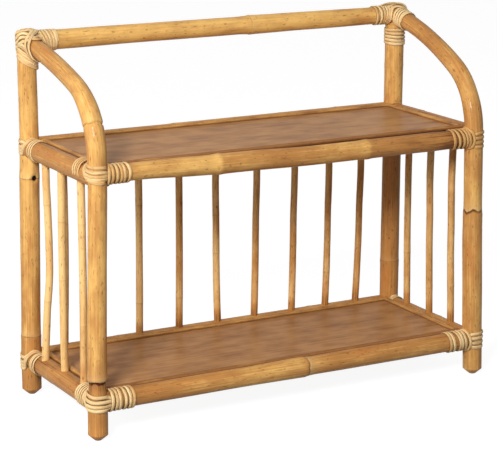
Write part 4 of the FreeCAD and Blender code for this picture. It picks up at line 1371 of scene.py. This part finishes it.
def top_joint(side, drift, post, arm_radius, rail_radius, under, turns, over, over_lift):
    """Bind a top corner. The post is its radius, its end over the rail's middle and its edge."""
    way = 1 if side == "left" else -1
    corner = Vector((-way * REAR_HALF_WIDTH + drift, HALF_DEPTH, TOP_RAIL_HEIGHT))
    inward = Vector((way, 0, 0))
    forward = Vector((0, -1, 0))
    arm = [point - corner for point in reversed(arm_paths[side][-ARM_POINTS:])]
    post_radius, post_end, post_edge = post
    poles = [
        (straight(inward), 0, rail_radius, TOP_EDGE),
        (straight(UP, -SEEN, post_end), -SEEN, post_radius, post_edge),
        (arm, arm[0].length, arm_radius, TOP_EDGE),
    ]
    joint = Joint(f"binding_top_{side}", corner, poles, 200 + way)

    def lay_all(strands, lift):
        for i, places in enumerate(strands):
            knots = [inward * x + forward * y + UP * z for x, y, z in places]
            joint.strand(knots, lift + i * NEXT_LIFT, sink=lift + Joint.SINK)

    lay_all(under, UNDER_LIFT)
    for pole, reaches, lean in turns:
        top = OUTER_FRONT if pole == POST else UP
        joint.coil(pole, reaches, lean, begin=0.5 * math.pi, top=top)
    lay_all(over, over_lift)
    joint.bind()


top_joint("left", drift=1.8, post=(12.0, 11.6, 4), arm_radius=10.8, rail_radius=11.9,
          under=LEFT_UNDER, turns=LEFT_TURNS, over=LEFT_OVER, over_lift=1.3)
top_joint("right", drift=2.3, post=(12.9, 11.5, 6), arm_radius=11.4, rail_radius=11.5,
          under=RIGHT_UNDER, turns=RIGHT_TURNS, over=RIGHT_OVER, over_lift=1.9)

# %% [markdown]
# ## The shelf boards
#
# The boards are thin plywood with a stained veneer, a flat brown between rose and grey. The grain
# runs along the rack in faint streaks, with soft mottling under a satin varnish that mirrors the
# light room at a low angle. The construction boards have the right shape already, so they only get
# this finish. So do the pins, which are bright steel.


# %% Board and pin finish
def board_finish():
    material, tree = new_material("stained_veneer")
    place = tree.add("ShaderNodeTexCoord", out=3)
    streaks = tree.noise(place * (9.0, 260.0, 40.0), detail=4.0)
    mottle = tree.noise(place * (26.0, 48.0, 20.0), detail=3.0)
    deep = tree.ramp(streaks * 0.4 + mottle * 0.8, 0.4, 0.88)
    return finish_material(material, tree, {
        "Base Color": mix(tree, deep, colour(0.80, 0.59, 0.38), colour(0.64, 0.44, 0.27)),
        "Roughness": 0.36, "Normal": bump(tree, 0.12, 0.0005, streaks), "Specular IOR Level": 0.02,
    })


def steel_finish():
    material, tree = new_material("bright_steel")
    scratches = tree.noise(tree.add("ShaderNodeTexCoord", out=3) * 900.0, detail=3.0)
    body = mix(tree, scratches, colour(0.62, 0.60, 0.57), colour(0.42, 0.40, 0.37))
    return finish_material(material, tree, {"Base Color": body, "Metallic": 1.0, "Roughness": 0.35})


def coat_node(node, material):
    """Give a construction piece a finish, and leave its shape alone."""
    mesh = nodes[node].data
    mesh.materials.clear()
    mesh.materials.append(material)


veneer = board_finish()
steel = steel_finish()
for node in ("upper_shelf_panel", "lower_shelf_panel"):
    coat_node(node, veneer)
for node in ("panel_pins", "bead_pins"):
    coat_node(node, steel)
print("boards and pins finished")

# %% [markdown]
# ## The frame screws
#
# The screws join the poles end to side, and cane covers their heads. A grown pole is thinner in
# places than its construction piece, so the heads would stand proud of it. A copy of the screws is
# pulled apart into single screws, and each is driven a little deeper, towards the middle of the
# rack.

# %% Screws driven home
HEAD_COVER = 3.0  # how much deeper each screw is driven


def islands(mesh):
    """The points of each separate solid in a mesh."""
    seen = set()
    for vertex in mesh.verts:
        if vertex in seen:
            continue
        seen.add(vertex)
        island = [vertex]
        for member in island:
            near = [edge.other_vert(member) for edge in member.link_edges]
            island += [other for other in near if other not in seen]
            seen.update(near)
        yield island


def drive_screws(node):
    """A copy of the screws in which each one sits deeper, along its own length."""
    screws = bmesh.new()
    screws.from_mesh(nodes[node].data)
    bmesh.ops.remove_doubles(screws, verts=screws.verts, dist=1e-6)
    count = 0
    for island in islands(screws):
        low = [min(vertex.co[i] for vertex in island) for i in range(3)]
        high = [max(vertex.co[i] for vertex in island) for i in range(3)]
        longest = longest_side(low, high)
        deeper = -math.copysign(HEAD_COVER * MM, low[longest] + high[longest])
        for vertex in island:
            vertex.co[longest] += deeper
        count += 1
    made = bpy.data.meshes.new(node)
    screws.to_mesh(made)
    screws.free()
    made.materials.append(steel)
    print(count, "screws driven home")
    return add_to_scene(f"{node}_driven", made)


settle(drive_screws("frame_screws"), "frame_screws")
